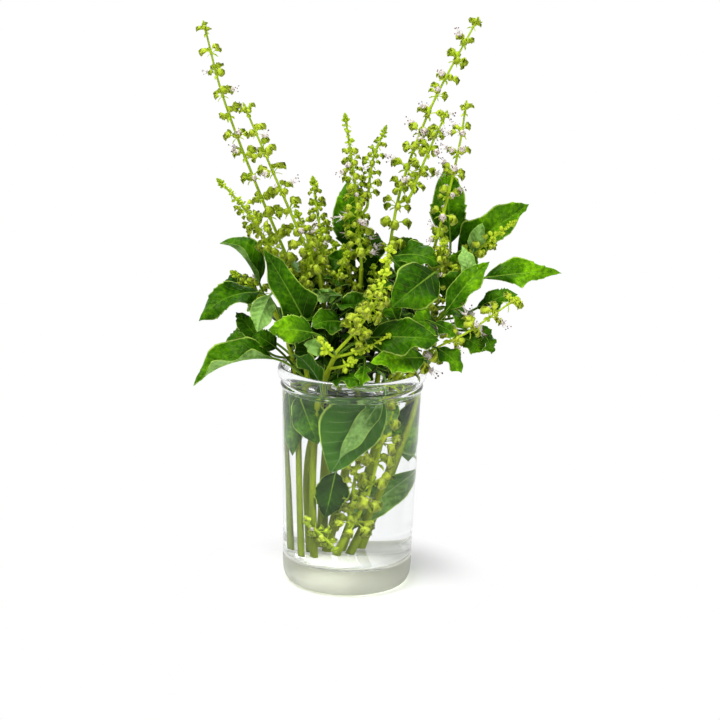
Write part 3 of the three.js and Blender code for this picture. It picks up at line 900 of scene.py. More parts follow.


# How each large leaf differs from the defaults. Its tone is mostly painted light and shade: low for a leaf in
# the bunch's shade, high for a lit one.
LOOKS = {
    "leaf_left_1": dict(tone=-0.2, under=0.5, folds=(78, 24), halves=(0.5, 1.35), tooth=0.5, wave=0.5,
                        droop=0.5),
    "leaf_left_2": dict(folds=(-5, 30), wave=1.8, waves=1.3, tone=-0.15, tooth=0.8),
    "leaf_left_3": dict(tone=-0.2, droop=3.0, tooth=1.2),
    "leaf_left_4": dict(tone=-0.3, wave=1.0, tooth=0.3, droop=0.5, tip=0.0, halves=(0.8, 0.64),
                        lobes=((-1, 0.22, 6.0, 0.12), (1, 0.22, 1.5, 0.15), (-1, 0.78, 1.2, 0.08))),
    "leaf_left_5": dict(tone=0.75, wave=0.5, tooth=0.3),
    "leaf_left_6": dict(tone=-0.3, tooth=1.5, teeth=6),
    "leaf_left_7": dict(tone=0.05, under=0.8, folds=(72, 26), halves=(0.62, 1.2), wave=1.4, waves=2.4,
                        tooth=0.9, droop=0.6),
    "leaf_left_8": dict(tone=-0.3, tooth=1.3),
    "leaf_front_1": dict(tone=0.5, wave=0.7, tooth=1.0, folds=(-30, 12), droop=1.0, tip=0.5),
    "leaf_front_2": dict(tone=-1.3, under=-1.0, tooth=0.5),
    "leaf_front_3": dict(tone=-0.1, droop=2.4, tooth=0.2),
    "leaf_front_4": dict(tone=-0.25, wave=1.8, waves=2.6, tooth=0.5,
                         lobes=((1, 0.55, 1.4, 0.08), (-1, 0.3, 1.6, 0.08), (-1, 0.6, -1.4, 0.08))),
    "leaf_front_5": dict(tone=0.55, wave=1.6, tooth=1.0, teeth=6,
                         lobes=((1, 0.28, -3.0, 0.06), (1, 0.42, 2.2, 0.06),
                                (1, 0.58, -2.0, 0.05), (1, 0.7, 1.4, 0.05))),
    "leaf_front_6": dict(tone=-0.3, tooth=0.4),
    "leaf_front_7": dict(tone=0.1, tooth=0.2),
    "leaf_centre_1": dict(tone=-0.1, tooth=1.2),
    "leaf_centre_2": dict(tone=-0.4),
    "leaf_centre_3": dict(tone=-0.45, wave=1.2, tooth=0.5),
    "leaf_centre_4": dict(tone=-0.3, wave=1.6, droop=2.0, tooth=0.6),
    "leaf_centre_5": dict(tone=-0.35, wave=1.2, tooth=0.3, droop=2.5),
    "leaf_right_1": dict(tone=0.35, folds=(34, 20), tooth=0.4),
    "leaf_right_2": dict(tone=0.35, wave=0.7, tooth=0.9, teeth=6, droop=0.4, halves=(1.05, 0.62),
                         lobes=((-1, 0.43, 5.0, 0.08), (1, 0.4, 1.5, 0.1),
                                (1, 0.72, -1.8, 0.12), (-1, 0.2, -1.0, 0.1))),
    "leaf_right_3": dict(tone=0.2, halves=(1.05, 0.75), folds=(26, 12), tooth=0.8, teeth=6, wave=1.3,
                         lobes=((1, 0.22, 2.5, 0.12), (1, 0.83, 1.2, 0.06),
                                (-1, 0.17, 3.5, 0.1), (-1, 0.8, -1.2, 0.08))),
    "leaf_right_4": dict(tone=0.0, tooth=1.4, teeth=6),
    "leaf_right_5": dict(tone=0.0, tooth=0.5),
    "leaf_right_6": dict(tone=-0.1, tooth=1.2),
    "leaf_sunk_1": dict(tone=-1.3, tooth=0.3, wave=0.6, halves=(1.5, 0.75)),
    "leaf_sunk_2": dict(tone=0.2, tooth=0.3, swerve=2.5),
}


LEAF_SKINS = ("basil_leaf_waxy_upper", "basil_leaf_downy_underside")


def leaf_skins(s):
    """The two faces of a leaf, made once and then shared by every leaf."""
    if LEAF_SKINS[0] not in bpy.data.materials:
        above = (s.deep, s.dark, s.light, s.bright)
        leaf_face(LEAF_SKINS[0], above, s.vein, s.margin, gloss=0.4, down=0.0, vein_share=0.2)
        middle = tuple((a + b) / 2 for a, b in zip(s.under_dark, s.under_light))
        below = (s.dark, s.under_dark, middle, s.under_light)
        leaf_face(LEAF_SKINS[1], below, s.under_vein, s.margin, gloss=0.5, down=0.1, vein_share=0.16)
    return [bpy.data.materials[name] for name in LEAF_SKINS]


def compass(turn, slope):
    """The direction at a compass angle, 0 along +X and 90 along +Y, and a slope above level, in degrees."""
    turn, slope = math.radians(turn), math.radians(slope)
    return np.array([math.cos(slope) * math.cos(turn), math.cos(slope) * math.sin(turn), math.sin(slope)])


class BASIL_OT_leaves(bpy.types.Operator):
    """Make each large leaf over its node, its stalk rooted in the nearest stem"""

    bl_idname = "basil.leaves"
    bl_label = "Leaves"

    def execute(self, context):
        s = context.scene.basil_leaves
        paths = list(STEM_PATHS.values())
        for seed, name in enumerate(LEAVES):
            bones = bones_of(name)
            # The stalk keeps its middle and its upper end, and starts in the middle of its stem.
            root = nearest(bones.stalk[0], paths)
            middle = on_curve(bones.stalk, [0.55])[0]
            bones.stalk = quadratic([0, 0.6, 1], np.array([root, middle, bones.blade[0]]))
            look = {**LEAF_DEFAULTS, **LOOKS.get(name, {})}
            body = leaf_body(bones, look, s, SEEDS.leaf + seed)
            make_piece(f"{name}_blade", body, leaf_skins(s), name)
        return {"FINISHED"}


# Small leaves deep in the bunch: the stem that each grows from, the height of its knee, where its blade
# starts and ends from that knee, its width and its arch, in mm, its face (compass, slope), and its look.
# Low tones on these leaves are painted shade deep in the bunch, and high ones are painted light on lit
# leaves.
SMALL_LEAVES = (
    ("stem_centre", 150, (-3, 8, 8), (-17, 10, 13), 13, 2, (-90, 15), dict(tone=-0.5)),
    ("stem_tall", 152, (1, 6, 11), (17, 8, 18), 12, 2, (-90, 20), dict(tone=-0.5)),
    ("stem_right", 138, (11, -4, 10), (19, -9, 24), 14, 2, (-90, 15), dict(tone=-0.4)),
    ("stem_right", 114, (11, -29, 14), (23, -35, 4), 12, 2, (-60, 45), dict(tone=0.0, tooth=0.3)),
    ("stem_right", 150, (22, -13, 10), (17, -8, 24), 8, -1.5, (90, 0), dict(tone=0.95, tooth=0.2)),
    ("stem_right", 122, (22, -16, 8), (34, -14, 1), 10, 2, (-90, 30), dict(tone=-0.1)),
    ("stem_right", 124, (27, -12, 9), (38, -10, 5), 8, 2, (-90, 30), dict(tone=-0.1)),
    ("stem_right", 122, (33, -13, 9), (37, -16, 0), 7, 1, (-60, 30), dict(tone=-0.1, tooth=1.5, teeth=4)),
    ("stem_mid_left", 140, (6, -12, 10), (-6, -9, 8), 7, 1.5, (90, -10), dict(tone=0.5, tooth=0.2)),
    ("stem_right", 122, (8, -34, 19), (19, -31, 12), 7, 1, (-80, 40), dict(tone=-0.1, tooth=0.2)),
    ("stem_front", 122, (-3, -5, 5), (-15, -17, 10), 8, 1.5, (95, -20), dict(tone=0.6, tooth=0.2)),
    ("stem_front", 108, (19, -16, 13), (18, -21, 4), 7, 1, (-100, 20),
     dict(tone=0.1, folds=(40, 40), tooth=0.2)),
    ("stem_edge", 108, (-9, -9, 12), (-21, -10, 19), 10, 2, (-80, 30), dict(tone=-0.5)),
    ("stem_tall", 128, (6, -38, 13), (1, -35, 24), 9, 1, (-100, 20), dict(tone=0.0, tooth=0.3)),
    ("stem_tall", 142, (4, -16, 23), (13, -19, 16), 7, 1, (-90, 10), dict(tone=-0.2, tooth=0.2)),
    ("stem_mid_left", 140, (-4, 4, 6), (-16, 8, 16), 14, 2, (-90, 10), dict(tone=-0.6)),
    ("stem_centre", 66, (-5, -14, -6), (-9, -18, -29), 14, 1, (-90, 10), dict(tone=-1.0, tooth=0.8)),
    ("stem_right", 100, (-3, 7, -6), (-6, 3, -38), 17, 1, (-90, 5), dict(tone=0.1, tooth=0.3)),
    ("stem_left", 104, (-1, -9, -5), (8, -14, -28), 19, 1, (-100, 5), dict(tone=-0.2, tooth=0.3)),
    ("stem_edge", 102, (1, -9, -3), (3, -13, -36), 14, 1, (-100, 5), dict(tone=0.1, tooth=0.3)),
    ("stem_right", 104, (-13, -15, -3), (-16, -15, -26), 14, 1, (95, 5), dict(tone=0.1, tooth=0.3)),
    ("stem_rear", 104, (4, -8, -6), (8, -7, -32), 18, 1, (-90, 5), dict(tone=-0.3, tooth=0.3)),
    ("stem_mid_left", 102, (-6, 6, -4), (-6, 8, -30), 16, 1, (-90, 5), dict(tone=-0.3, tooth=0.3)),
    ("stem_centre", 108, (11, -27, -6), (-8, -28, -38), 9, -1, (90, 0), dict(tone=0.2, tooth=0.2)),
    ("stem_centre", 142, (3, 8, 4), (8, 13, 22), 15, 2, (-90, 15), dict(tone=-1.1)),
    ("stem_tall", 138, (2, 5, 3), (-2, 8, 22), 14, 2, (-90, 15), dict(tone=-1.2)),
    ("stem_centre", 134, (-5, 4, 3), (-15, 8, 18), 14, 2, (-90, 15), dict(tone=-1.2)),
    ("stem_mid_left", 114, (2, -9, 4), (-10, -11, 18), 15, 2, (-90, 25), dict(tone=-1.3)),
    ("stem_left", 112, (3, -9, 3), (-3, -13, 20), 12, 2, (-90, 20), dict(tone=-1.6)),
    ("stem_centre", 108, (0, -14, 4), (-8, -21, 18), 13, 2, (-90, 25), dict(tone=-1.3)),
    ("stem_tall", 116, (0, -14, 4), (-4, -18, 20), 13, 2, (-90, 25), dict(tone=-1.2)),
    ("stem_left", 130, (2, 6, 4), (-4, 7, 20), 14, 2, (-90, 15), dict(tone=-1.0)),
    ("stem_rear_right", 144, (6, -2, 8), (20, -4, 24), 14, 2, (-90, 20), dict(tone=0.2)),
    ("stem_rear_right", 160, (5, -7, 8), (9, -8, 23), 8, 1, (90, 10), dict(tone=0.9, tooth=0.2)),
)
SMALL_LOOK = dict(fine=0.6, teeth=7, tip=0.5, droop=0.8)


class BASIL_OT_small_leaves(bpy.types.Operator):
    """Make the small leaves that show between the large ones and in the water, each rooted in its stem"""

    bl_idname = "basil.small_leaves"
    bl_label = "Small leaves"

    def execute(self, context):
        s = context.scene.basil_leaves
        for seed, (stem, z, base, tip, width, arch, face, look) in enumerate(SMALL_LEAVES):
            knee = knee_at(stem, z)
            bones = bones_between(knee, knee + base, knee + tip, compass(*face), width, arch)
            look = {**LEAF_DEFAULTS, **SMALL_LOOK, **look}
            body = leaf_body(bones, look, s, SEEDS.small + seed)
            make_piece(f"small_leaf_{seed + 1}", body, leaf_skins(s))
        return {"FINISHED"}


# The leaves in the heart of the bunch, in mm and degrees.
HEART_LOW = 97  # the lowest knee: on other stems it is up to 3 mm higher
HEART_HIGH = 160  # the highest tip
HEART_STEP = 6  # from knee to knee
HEART_REACH = ((-30, -30), (38, 36))  # between which places over the table its tips stay
HEART_TURN = (30, 25)  # what a leaf is turned on beyond its quarter: the mean and the spread
HEART_RISE = (10, 55)  # the least and the most that it rises
HEART_STALK = 5
HEART_LENGTH = (13, 20)  # the shortest and the longest blade
HEART_WIDTH = (9, 13)
# painted shade: the heart's leaves are given dark greens because they lie in the bunch's shade
HEART_PAINTED_SHADE = (-1.2, -0.4)
HEART_LOOK = dict(fine=0.4, tip=0.8, tooth=0.5)


class BASIL_OT_heart_leaves(bpy.types.Operator):
    """Make the crowded leaves in the heart of the bunch, painted dark as shade, two to a knee, each pair
    turned a quarter on
    """

    bl_idname = "basil.heart_leaves"
    bl_label = "Heart leaves"

    def execute(self, context):
        s = context.scene.basil_leaves
        for seed, (stem, path) in enumerate(STEM_PATHS.items()):
            rng = np.random.default_rng(SEEDS.heart + seed)
            bodies = []
            for pair, z in enumerate(np.arange(HEART_LOW + seed % 4, path[-1, 2] - 4, HEART_STEP)):
                knee = knee_at(stem, z)
                for side in (0, 180):
                    turn, rise = 90 * pair + side + rng.normal(*HEART_TURN), rng.uniform(*HEART_RISE)
                    out = compass(turn, rise)
                    base = knee + HEART_STALK * out
                    tip = base + rng.uniform(*HEART_LENGTH) * out
                    low, high = HEART_REACH
                    if (tip[:2] < low).any() or (tip[:2] > high).any() or tip[2] > HEART_HIGH:
                        continue
                    face = compass(turn + 180 + rng.normal(0, 25), 90 - rise)
                    bones = bones_between(knee, base, tip, face, rng.uniform(*HEART_WIDTH), arch=1.5)
                    look = {**LEAF_DEFAULTS, **HEART_LOOK, "tone": rng.uniform(*HEART_PAINTED_SHADE)}
                    bodies.append(leaf_body(bones, look, s, rng.integers(1000)))
            if bodies:
                make_piece(f"{stem}_heart_leaves", join(bodies), leaf_skins(s))
        return {"FINISHED"}


# ---- flower spikes ----

FLOWER_SIDES = 8
GREEN, INSIDE, PETAL, FILAMENT, ANTHER = range(5)


def pod(path, radii, spread=0.0, forward=0.0):
    """A small body along a path in the XZ plane: rings of eight points square to the path, the first at the
    top. spread and forward, (rows, 8), push points out and along the path."""
    path = np.asarray(path, float)
    way = unit(np.gradient(path, axis=0))
    top = np.stack([-way[:, 1], way[:, 0]], -1)
    turn = np.arange(FLOWER_SIDES) * 2 * np.pi / FLOWER_SIDES
    out = np.asarray(radii, float)[:, None] + np.zeros(FLOWER_SIDES) + spread
    ahead = np.zeros_like(out) + forward
    lift = out * np.cos(turn)
    plane = path[:, None] + lift[..., None] * top[:, None] + ahead[..., None] * way[:, None]
    return np.stack([plane[..., 0], out * np.sin(turn), plane[..., 1]], -1)


def flower_path(lengths, stalk_length):
    """Points at lengths along a flower's middle line: its stalk rises from the rachis and then nods, and its
    slope falls off as a power of e."""
    fine = np.linspace(0, max(np.max(lengths), 1.0), 60)
    slope = np.radians(52) * np.exp(-fine / (0.8 * stalk_length)) - np.radians(12)
    x = np.concatenate([[0], np.cumsum(np.cos(slope[:-1])) * fine[1]])
    z = np.concatenate([[0], np.cumsum(np.sin(slope[:-1])) * fine[1]])
    return np.stack([np.interp(lengths, fine, x), np.interp(lengths, fine, z)], -1)


def calyx_body(s):
    """A stalk and a bell: its broad upper lip stands up like a shield, and its lower lip has two long teeth.
    Its rows run from the stalk's root out to the mouth and back down the inside, and each row's eight points
    start at the top."""
    stem, bell = s.stalk / MM, s.calyx / MM
    marks = np.array([0, 0.6, 1, 1, 1, 1, 1]) * stem + np.array([0, 0, 0, 0.16, 0.5, 0.85, 0.4]) * bell
    radii = [0.26, 0.22, 0.3, 1.15, 1.7, 1.75, 0.8]
    spread = np.zeros((len(marks), FLOWER_SIDES))
    forward = np.zeros((len(marks), FLOWER_SIDES))
    spread[4] = [0.2, 0.1, 0.0, 0.0, 0.0, 0.0, 0.0, 0.1]
    spread[5] = [1.3, 0.95, 0.3, 0.1, -0.2, 0.1, 0.3, 0.95]
    forward[5] = [0.5, 0.2, -0.3, 1.2, 0.4, 1.2, -0.3, 0.2]
    slots = np.array([GREEN] * 5 + [INSIDE])[:, None]
    edge = np.array([0, 0, 0, 0, 0, 1, 0])[:, None]
    return shell(pod(flower_path(marks, stem), radii, spread, forward), slots, edge=edge)


def bud_body(s):
    """A short stalk and a closed egg with a blunt tip."""
    stem = 0.4 * s.stalk / MM
    marks = [0.0, stem, stem + 0.4, stem + 1.3, stem + 2.3, stem + 2.8]
    return shell(pod(flower_path(marks, stem), [0.25, 0.26, 0.85, 1.15, 0.8, 0.25]), GREEN, edge=0)


def corolla_body(s):
    """A small tube that opens into four short upper lobes and one longer lower lobe."""
    stem = s.stalk / MM
    marks = stem + 0.5 * s.calyx / MM + np.array([0, 1.8, 2.5, 1.9, 0.6])
    radii = [0.5, 0.75, 0.9, 0.55, 0.3]
    spread = np.zeros((len(marks), FLOWER_SIDES))
    forward = np.zeros((len(marks), FLOWER_SIDES))
    spread[2] = [1.4, 1.0, 1.1, 0.5, 0.7, 0.5, 1.1, 1.0]
    forward[2] = [0.2, -0.3, 0.4, 0.3, 1.5, 0.3, 0.4, -0.3]
    return shell(pod(flower_path(marks, stem), radii, spread, forward), PETAL, edge=0)


# Each filament of a flower: how far it reaches out, how far it hangs and how far it leans aside, in mm.
FILAMENTS = ((5.2, -0.5, -1.1), (4.1, -2.2, 0.7), (5.8, 0.8, 0.6), (4.4, 0.3, -1.6))


def loop(sides):
    """Points round a circle of radius 1 in the YZ plane."""
    turn = np.arange(sides) * 2 * np.pi / sides
    return np.stack([np.zeros(sides), np.cos(turn), np.sin(turn)], -1)


def stamen_bodies(s):
    """Four thread-like filaments that bow out of the flower's mouth, each along a line with a parabola's
    bulge, and each with an egg-shaped tip."""
    start = s.stalk / MM + 0.75 * s.calyx / MM
    begin = flower_path([start], s.stalk / MM)[0]
    thread = 0.1 * loop(3)
    egg = np.array([0.2, 0.42, 0.24])[:, None, None] * loop(4)
    egg = egg + np.array([-0.3, 0.0, 0.3])[:, None, None] * np.array([1.0, 0, 0])
    t = np.linspace(0, 1, 4)
    parts = []
    for reach, drop, aside in FILAMENTS:
        x, z = begin[0] + reach * t, begin[1] + drop * t + 1.2 * t * (1 - t)
        middle = np.stack([x, aside * t, z], -1)
        parts.append(shell(middle[:, None] + thread, FILAMENT, edge=0))
        parts.append(shell(middle[-1] + egg, ANTHER, edge=0))
    return join(parts)


BRACT_LENGTH = 3.6  # how far it reaches out, in mm as are the next two
BRACT_BREADTH = 1.0  # half its breadth
BRACT_THICKNESS = 0.14  # and half its thickness


def bract_body():
    """A small pointed leaf that bends down: a flat eight-sided section along a parabola, whose breadth is a
    power of a sine of the length."""
    t = np.linspace(0, 1, 5)
    rows = pod(np.stack([BRACT_LENGTH * t, 0.4 * t - 2.4 * t * t], -1), np.full(5, BRACT_THICKNESS))
    half = BRACT_BREADTH * np.sin(np.pi * np.clip(t, 0.05, 0.97)) ** 0.8
    rows[:, :, 1] *= (half / BRACT_THICKNESS)[:, None]
    return shell(rows, GREEN, edge=0)


# How a flower spike is dressed, where its own look doesn't say otherwise.
SPIKE_DEFAULTS = dict(
    size=1.0,  # its flowers' scale
    ripe=0.7,  # its green, from 0, young, to 1
    open=0.05,  # the share of its flowers that are open, between these shares of its length
    start=0.0,
    end=0.8,
    each=6,  # how many flowers a whorl has
    dense=1,  # how many whorls there are for each of the node's
    bare=0,  # how many of them are missing at its foot
    budded=1,  # and how many are still in bud at its end
    taper=0.35,  # how much smaller the last flowers are
    cone=1.0,  # the scale of the buds that close its tip
)
SPIKE_LOOKS = {
    "raceme_left_tall": dict(size=1.05, ripe=0.6, open=0.1, end=0.9, budded=0, cone=0.6),
    "raceme_left_inner": dict(size=1.05, ripe=0.65, open=0.15, budded=0, cone=0.6),
    "raceme_left_low": dict(size=0.9, ripe=0.8, dense=2, taper=0.5, budded=3),
    "raceme_left_back": dict(size=0.9, ripe=0.85, dense=2),
    "raceme_edge": dict(size=0.85, ripe=0.75, dense=2),
    "raceme_centre": dict(size=0.95, ripe=0.75, open=0.45, end=0.65, taper=0.5, budded=3, dense=2, each=5),
    "raceme_centre_side": dict(size=0.75, ripe=0.9, open=0.05, dense=2),
    "raceme_right_tall": dict(size=1.05, ripe=0.6, open=0.2, start=0.2, end=0.93, taper=0.25, budded=0,
                              cone=0.7),
    "raceme_right_side": dict(size=0.95, ripe=0.7, open=0.2, end=1.0, budded=0, cone=0.6),
    "raceme_right": dict(size=1.0, ripe=0.5, open=0.35, end=0.95, budded=0, cone=0.7),
    "raceme_front": dict(size=1.0, ripe=0.05, open=0.0, taper=0.35, dense=2, budded=6, each=4, bare=4),
    # its young, bright green is partly painted light, keeping the spike in the water bright where the bunch
    # shades it
    "raceme_sloping": dict(size=1.15, ripe=0.15, open=0.4, start=0.55, end=0.95, taper=0.2, each=8,
                           budded=0, cone=0.8),
    "raceme_rear_right": dict(size=0.78, ripe=0.45, open=0.05, dense=2, budded=3, each=5),
    "raceme_heart": dict(size=0.95, ripe=0.9, dense=2),
    "raceme_rear": dict(size=0.9, ripe=0.8, dense=2),
}

# Side spikes that have no node: the stem that each grows from, the height of its knee, where its tip is from
# that knee, the length of its bare foot, in mm, its number of whorls and its look.
SIDE_SPIKES = (
    ("stem_left", 148, (13, 5, 30), 8, 6, dict(size=0.85, ripe=0.9)),
    ("stem_left", 138, (6, -9, 34), 10, 6, dict(size=0.85, ripe=0.85)),
    ("stem_mid_left", 134, (-3, 6, 34), 8, 6, dict(size=0.85, ripe=1.0)),
    ("stem_mid_left", 144, (11, 2, 24), 6, 5, dict(size=0.8, ripe=0.9)),
    ("stem_centre", 128, (-11, -7, 27), 8, 5, dict(size=0.85, ripe=1.0)),
    ("stem_centre", 140, (-9, 3, 30), 6, 6, dict(size=0.8, ripe=1.0)),
    ("stem_tall", 136, (-6, -8, 26), 8, 5, dict(size=0.8, ripe=1.0)),
    ("stem_rear", 142, (8, -14, 28), 6, 6, dict(size=0.85, ripe=0.9)),
    ("stem_right", 140, (16, -6, 24), 8, 5, dict(size=0.8, ripe=0.4)),
    ("stem_front", 122, (-7, -17, 13), 12, 2, dict(size=0.8, ripe=0.05, budded=2)),
    ("stem_front", 122, (26, -13, 15), 12, 5, dict(size=0.7, ripe=0.1, budded=5, each=4)),
    ("stem_front", 116, (13, -14, 8), 12, 1, dict(size=1.0, ripe=0.15, each=3)),
    ("stem_right", 128, (20, 2, 22), 8, 5, dict(size=0.8, ripe=0.5, budded=2)),
    ("stem_sloping", 24, (5, -6, 58), 16, 7, dict(size=0.95, ripe=0.5, budded=0, each=5)),
    ("stem_rear_right", 142, (5, -14, 34), 8, 8, dict(size=0.9, ripe=0.4)),
    ("stem_rear_right", 150, (13, -8, 22), 4, 6, dict(size=0.85, ripe=0.35)),
    ("stem_right", 146, (9, -3, 30), 8, 7, dict(size=0.9, ripe=0.45)),
    ("stem_left", 34, (15, -5, -13), 5, 5, dict(size=0.85, ripe=0.7, each=4, budded=0)),
)


def turns_of(out, up):
    """Turning matrices (n, 3, 3) whose columns are out, the side and the direction nearest to up."""
    out = unit(out)
    side = unit(np.cross(up, out))
    return np.stack([out, side, np.cross(out, side)], -1)


def pointing(spike, spot, turn, rise):
    """The way that flowers point from rows of the spike's path: out at their turn, raised towards the tip."""
    out = np.cos(turn)[:, None] * spike.first[spot] + np.sin(turn)[:, None] * spike.second[spot]
    return np.cos(rise)[:, None] * out + np.sin(rise)[:, None] * spike.way[spot]


RACHIS = 0.8  # the radius at its foot, in mm
RACHIS_THINS = 0.35  # how much of that is lost at its tip
RACHIS_KNEE = 0.9  # how far along it a whorl's swelling reaches, in mm
RACHIS_SWELLS = 0.45  # by which share of the radius


def rachis_body(spike, look):
    """The spike's own stalk, which thins evenly and swells in a bell curve of the length at each whorl."""
    length = lengths_along(spike.path)
    girth = RACHIS - RACHIS_THINS * length / length[-1]
    knees = np.exp(-(((length[:, None] - length[spike.whorls]) / RACHIS_KNEE) ** 2)).max(1)
    radius = girth * (1 + RACHIS_SWELLS * knees)
    ripe = np.full((len(length), 1), 0.5 + 0.5 * look["ripe"])
    return stalk(spike.path, radius, sides=10, ridge=0.08, ripe=ripe, edge=0)


FLOWER_FAN = np.radians(50)  # between neighbours in a whorl's group
FLOWER_RISE = (6, 15)  # degrees above square to the rachis: the mean and the spread
FLOWER_SIZES = (0.66, 1.18)  # the smallest and the largest flower's scale
LOST_FLOWERS = 0.06  # the share that has dropped


def spike_flowers(spike, look, shapes, base_turn, rng):
    """Whorls of flowers in two facing groups, each whorl turned a quarter from the last.

    Each flower points out from the rachis at its compass angle, tipped up or down by its own draw, and its
    size falls off with the square of the share of the length."""
    n, each = len(spike.whorls), look["each"]
    rank, k = np.repeat(np.arange(n), each), np.tile(np.arange(each), n)
    count = len(k)
    group = k * 2 // each
    half = (each + 1) // 2
    off_middle = k - np.array([half - 1, each + half - 1])[group] / 2
    turn = base_turn + rank * np.pi / 2 + group * np.pi + off_middle * FLOWER_FAN + rng.normal(0, 0.15, count)
    progress = rank / max(n - 1, 1)
    rise = np.radians(rng.normal(*FLOWER_RISE, count)) + 0.5 * progress**3
    spot = spike.whorls[rank]
    way = spike.way[spot]
    scale = look["size"] * (1 - look["taper"] * progress**2) * rng.uniform(*FLOWER_SIZES, count)
    out = pointing(spike, spot, turn, rise)
    turns = turns_of(out, way + rng.normal(0, 0.2, (count, 3))) * scale[:, None, None]
    place = spike.path[spot] + way * rng.normal(0, 0.5, (count, 1))
    ripe = np.clip(look["ripe"] + rng.normal(0, 0.22, count) - 0.2 * progress, 0, 1)
    kept = rng.uniform(0, 1, count) > LOST_FLOWERS
    in_bud = kept & (rank > n - 1 - look["budded"])
    grown = kept & ~in_bud
    opened = grown & (progress >= look["start"]) & (progress <= look["end"])
    opened &= rng.uniform(0, 1, count) < look["open"]
    dress = (
        (shapes.calyx, grown, 1.0), (shapes.bud, in_bud, 1.2),
        (shapes.corolla, opened, 1.0), (shapes.stamens, opened, 1.0),
    )
    return [
        copies(shape, turns[chosen] * size, place[chosen], ripe=ripe[chosen])
        for shape, chosen, size in dress if chosen.any()
    ]


def spike_bracts(spike, look, bract, base_turn, rng):
    """A bract under each group of flowers."""
    n = len(spike.whorls)
    rank = np.repeat(np.arange(n), 2)
    turn = base_turn + rank * np.pi / 2 + np.tile([0, np.pi], n)
    spot = spike.whorls[rank]
    scale = look["size"] * (1 - look["taper"] * (rank / n) ** 2) * rng.uniform(0.7, 1.2, 2 * n)
    turns = turns_of(pointing(spike, spot, turn, np.zeros(2 * n)), spike.way[spot]) * scale[:, None, None]
    return copies(bract, turns, spike.path[spot] - 0.6 * spike.way[spot], ripe=np.full(2 * n, 0.3))


# The rings of buds that close a tip: how far past the last whorl each is, as a share of what is left, how
# steeply its buds rise and their scale.
TIP_PLACES = np.array([0.25, 0.45, 0.65, 0.82, 0.97])
TIP_RISES = np.radians([35, 45, 55, 65, 78])
TIP_SCALES = np.array([0.85, 0.75, 0.65, 0.55, 0.42])


def spike_tip(spike, look, bud):
    """Rings of four ever smaller buds, each ring turned on from the last."""
    rank = np.repeat(np.arange(5), 4)
    turn = rank * 0.8 + np.tile(np.arange(4), 5) * np.pi / 2
    last = spike.whorls[-1]
    spot = last + ((len(spike.path) - 1 - last) * TIP_PLACES).astype(int)[rank]
    scale = look["size"] * look["cone"] * (1 - 0.5 * look["taper"]) * TIP_SCALES[rank]
    turns = turns_of(pointing(spike, spot, turn, TIP_RISES[rank]), spike.way[spot]) * scale[:, None, None]
    return copies(bud, turns, spike.path[spot], ripe=np.full(len(turn), min(1.0, 0.2 + look["ripe"])))


def spike_body(path, places, look, shapes, seed):
    """A rachis along a path with its flowers, bracts and tip. places are the rows of the path that whorls
    lie at, and a dense spike has more of them evenly between."""
    rng = np.random.default_rng(seed)
    look = {**SPIKE_DEFAULTS, **look}
    count = (len(places) - 1) * look["dense"] + 1
    whorls = np.interp(np.linspace(0, len(places) - 1, count), np.arange(len(places)), places).astype(int)
    way, first, second = sections(path)
    spike = SimpleNamespace(path=path, way=way, first=first, second=second, whorls=whorls[look["bare"]:])
    base_turn = rng.uniform(0, 2 * np.pi)
    return join([
        rachis_body(spike, look), *spike_flowers(spike, look, shapes, base_turn, rng),
        spike_bracts(spike, look, shapes.bract, base_turn, rng), spike_tip(spike, look, shapes.bud),
    ])


SPIKE_ROWS = 240  # points on a spike's path
SIDE_ROWS = 90  # and on a side spike's
LAST_WHORL = 82  # the place of its last whorl among them
SIDE_BEND = (0.55, 0.55, 0.3)  # its middle control point, as shares of its tip's place


def spike_on_node(name):
    """A spike's path, from where it grows, and its whorls' rows: a whorl lies at each star-shaped ring."""
    rings = SPIKES[name]
    centres = rings.mean(1)
    reach = np.linalg.norm(rings - centres[:, None], axis=2)
    starred = np.flatnonzero(reach.max(1) > 2 * reach.min(1))
    others = [p for n, p in {**STEM_PATHS, **SPIKE_PATHS}.items() if n != name]
    gap = np.linalg.norm(nearest(centres[0], others) - centres[0])
    root = nearest(centres[0] - 0.8 * gap * Z_AXIS, others)
    path = through([root, *centres], SPIKE_ROWS)
    return path, [np.argmin(np.linalg.norm(path - centres[k], axis=1)) for k in starred]


def spike_on_knee(stem, z, tip, bare, whorls):
    """A side spike's path and its whorls' rows: a curve of second degree from its knee to its tip, which
    leaves the stem less steeply than it ends."""
    tip = np.array(tip, float)
    t = np.linspace(0, 1, SIDE_ROWS)[:, None]
    path = knee_at(stem, z) + 2 * t * (1 - t) * (tip * SIDE_BEND) + t * t * tip
    first = int(SIDE_ROWS * bare / np.linalg.norm(tip))
    return path, np.linspace(first, LAST_WHORL, whorls).astype(int)


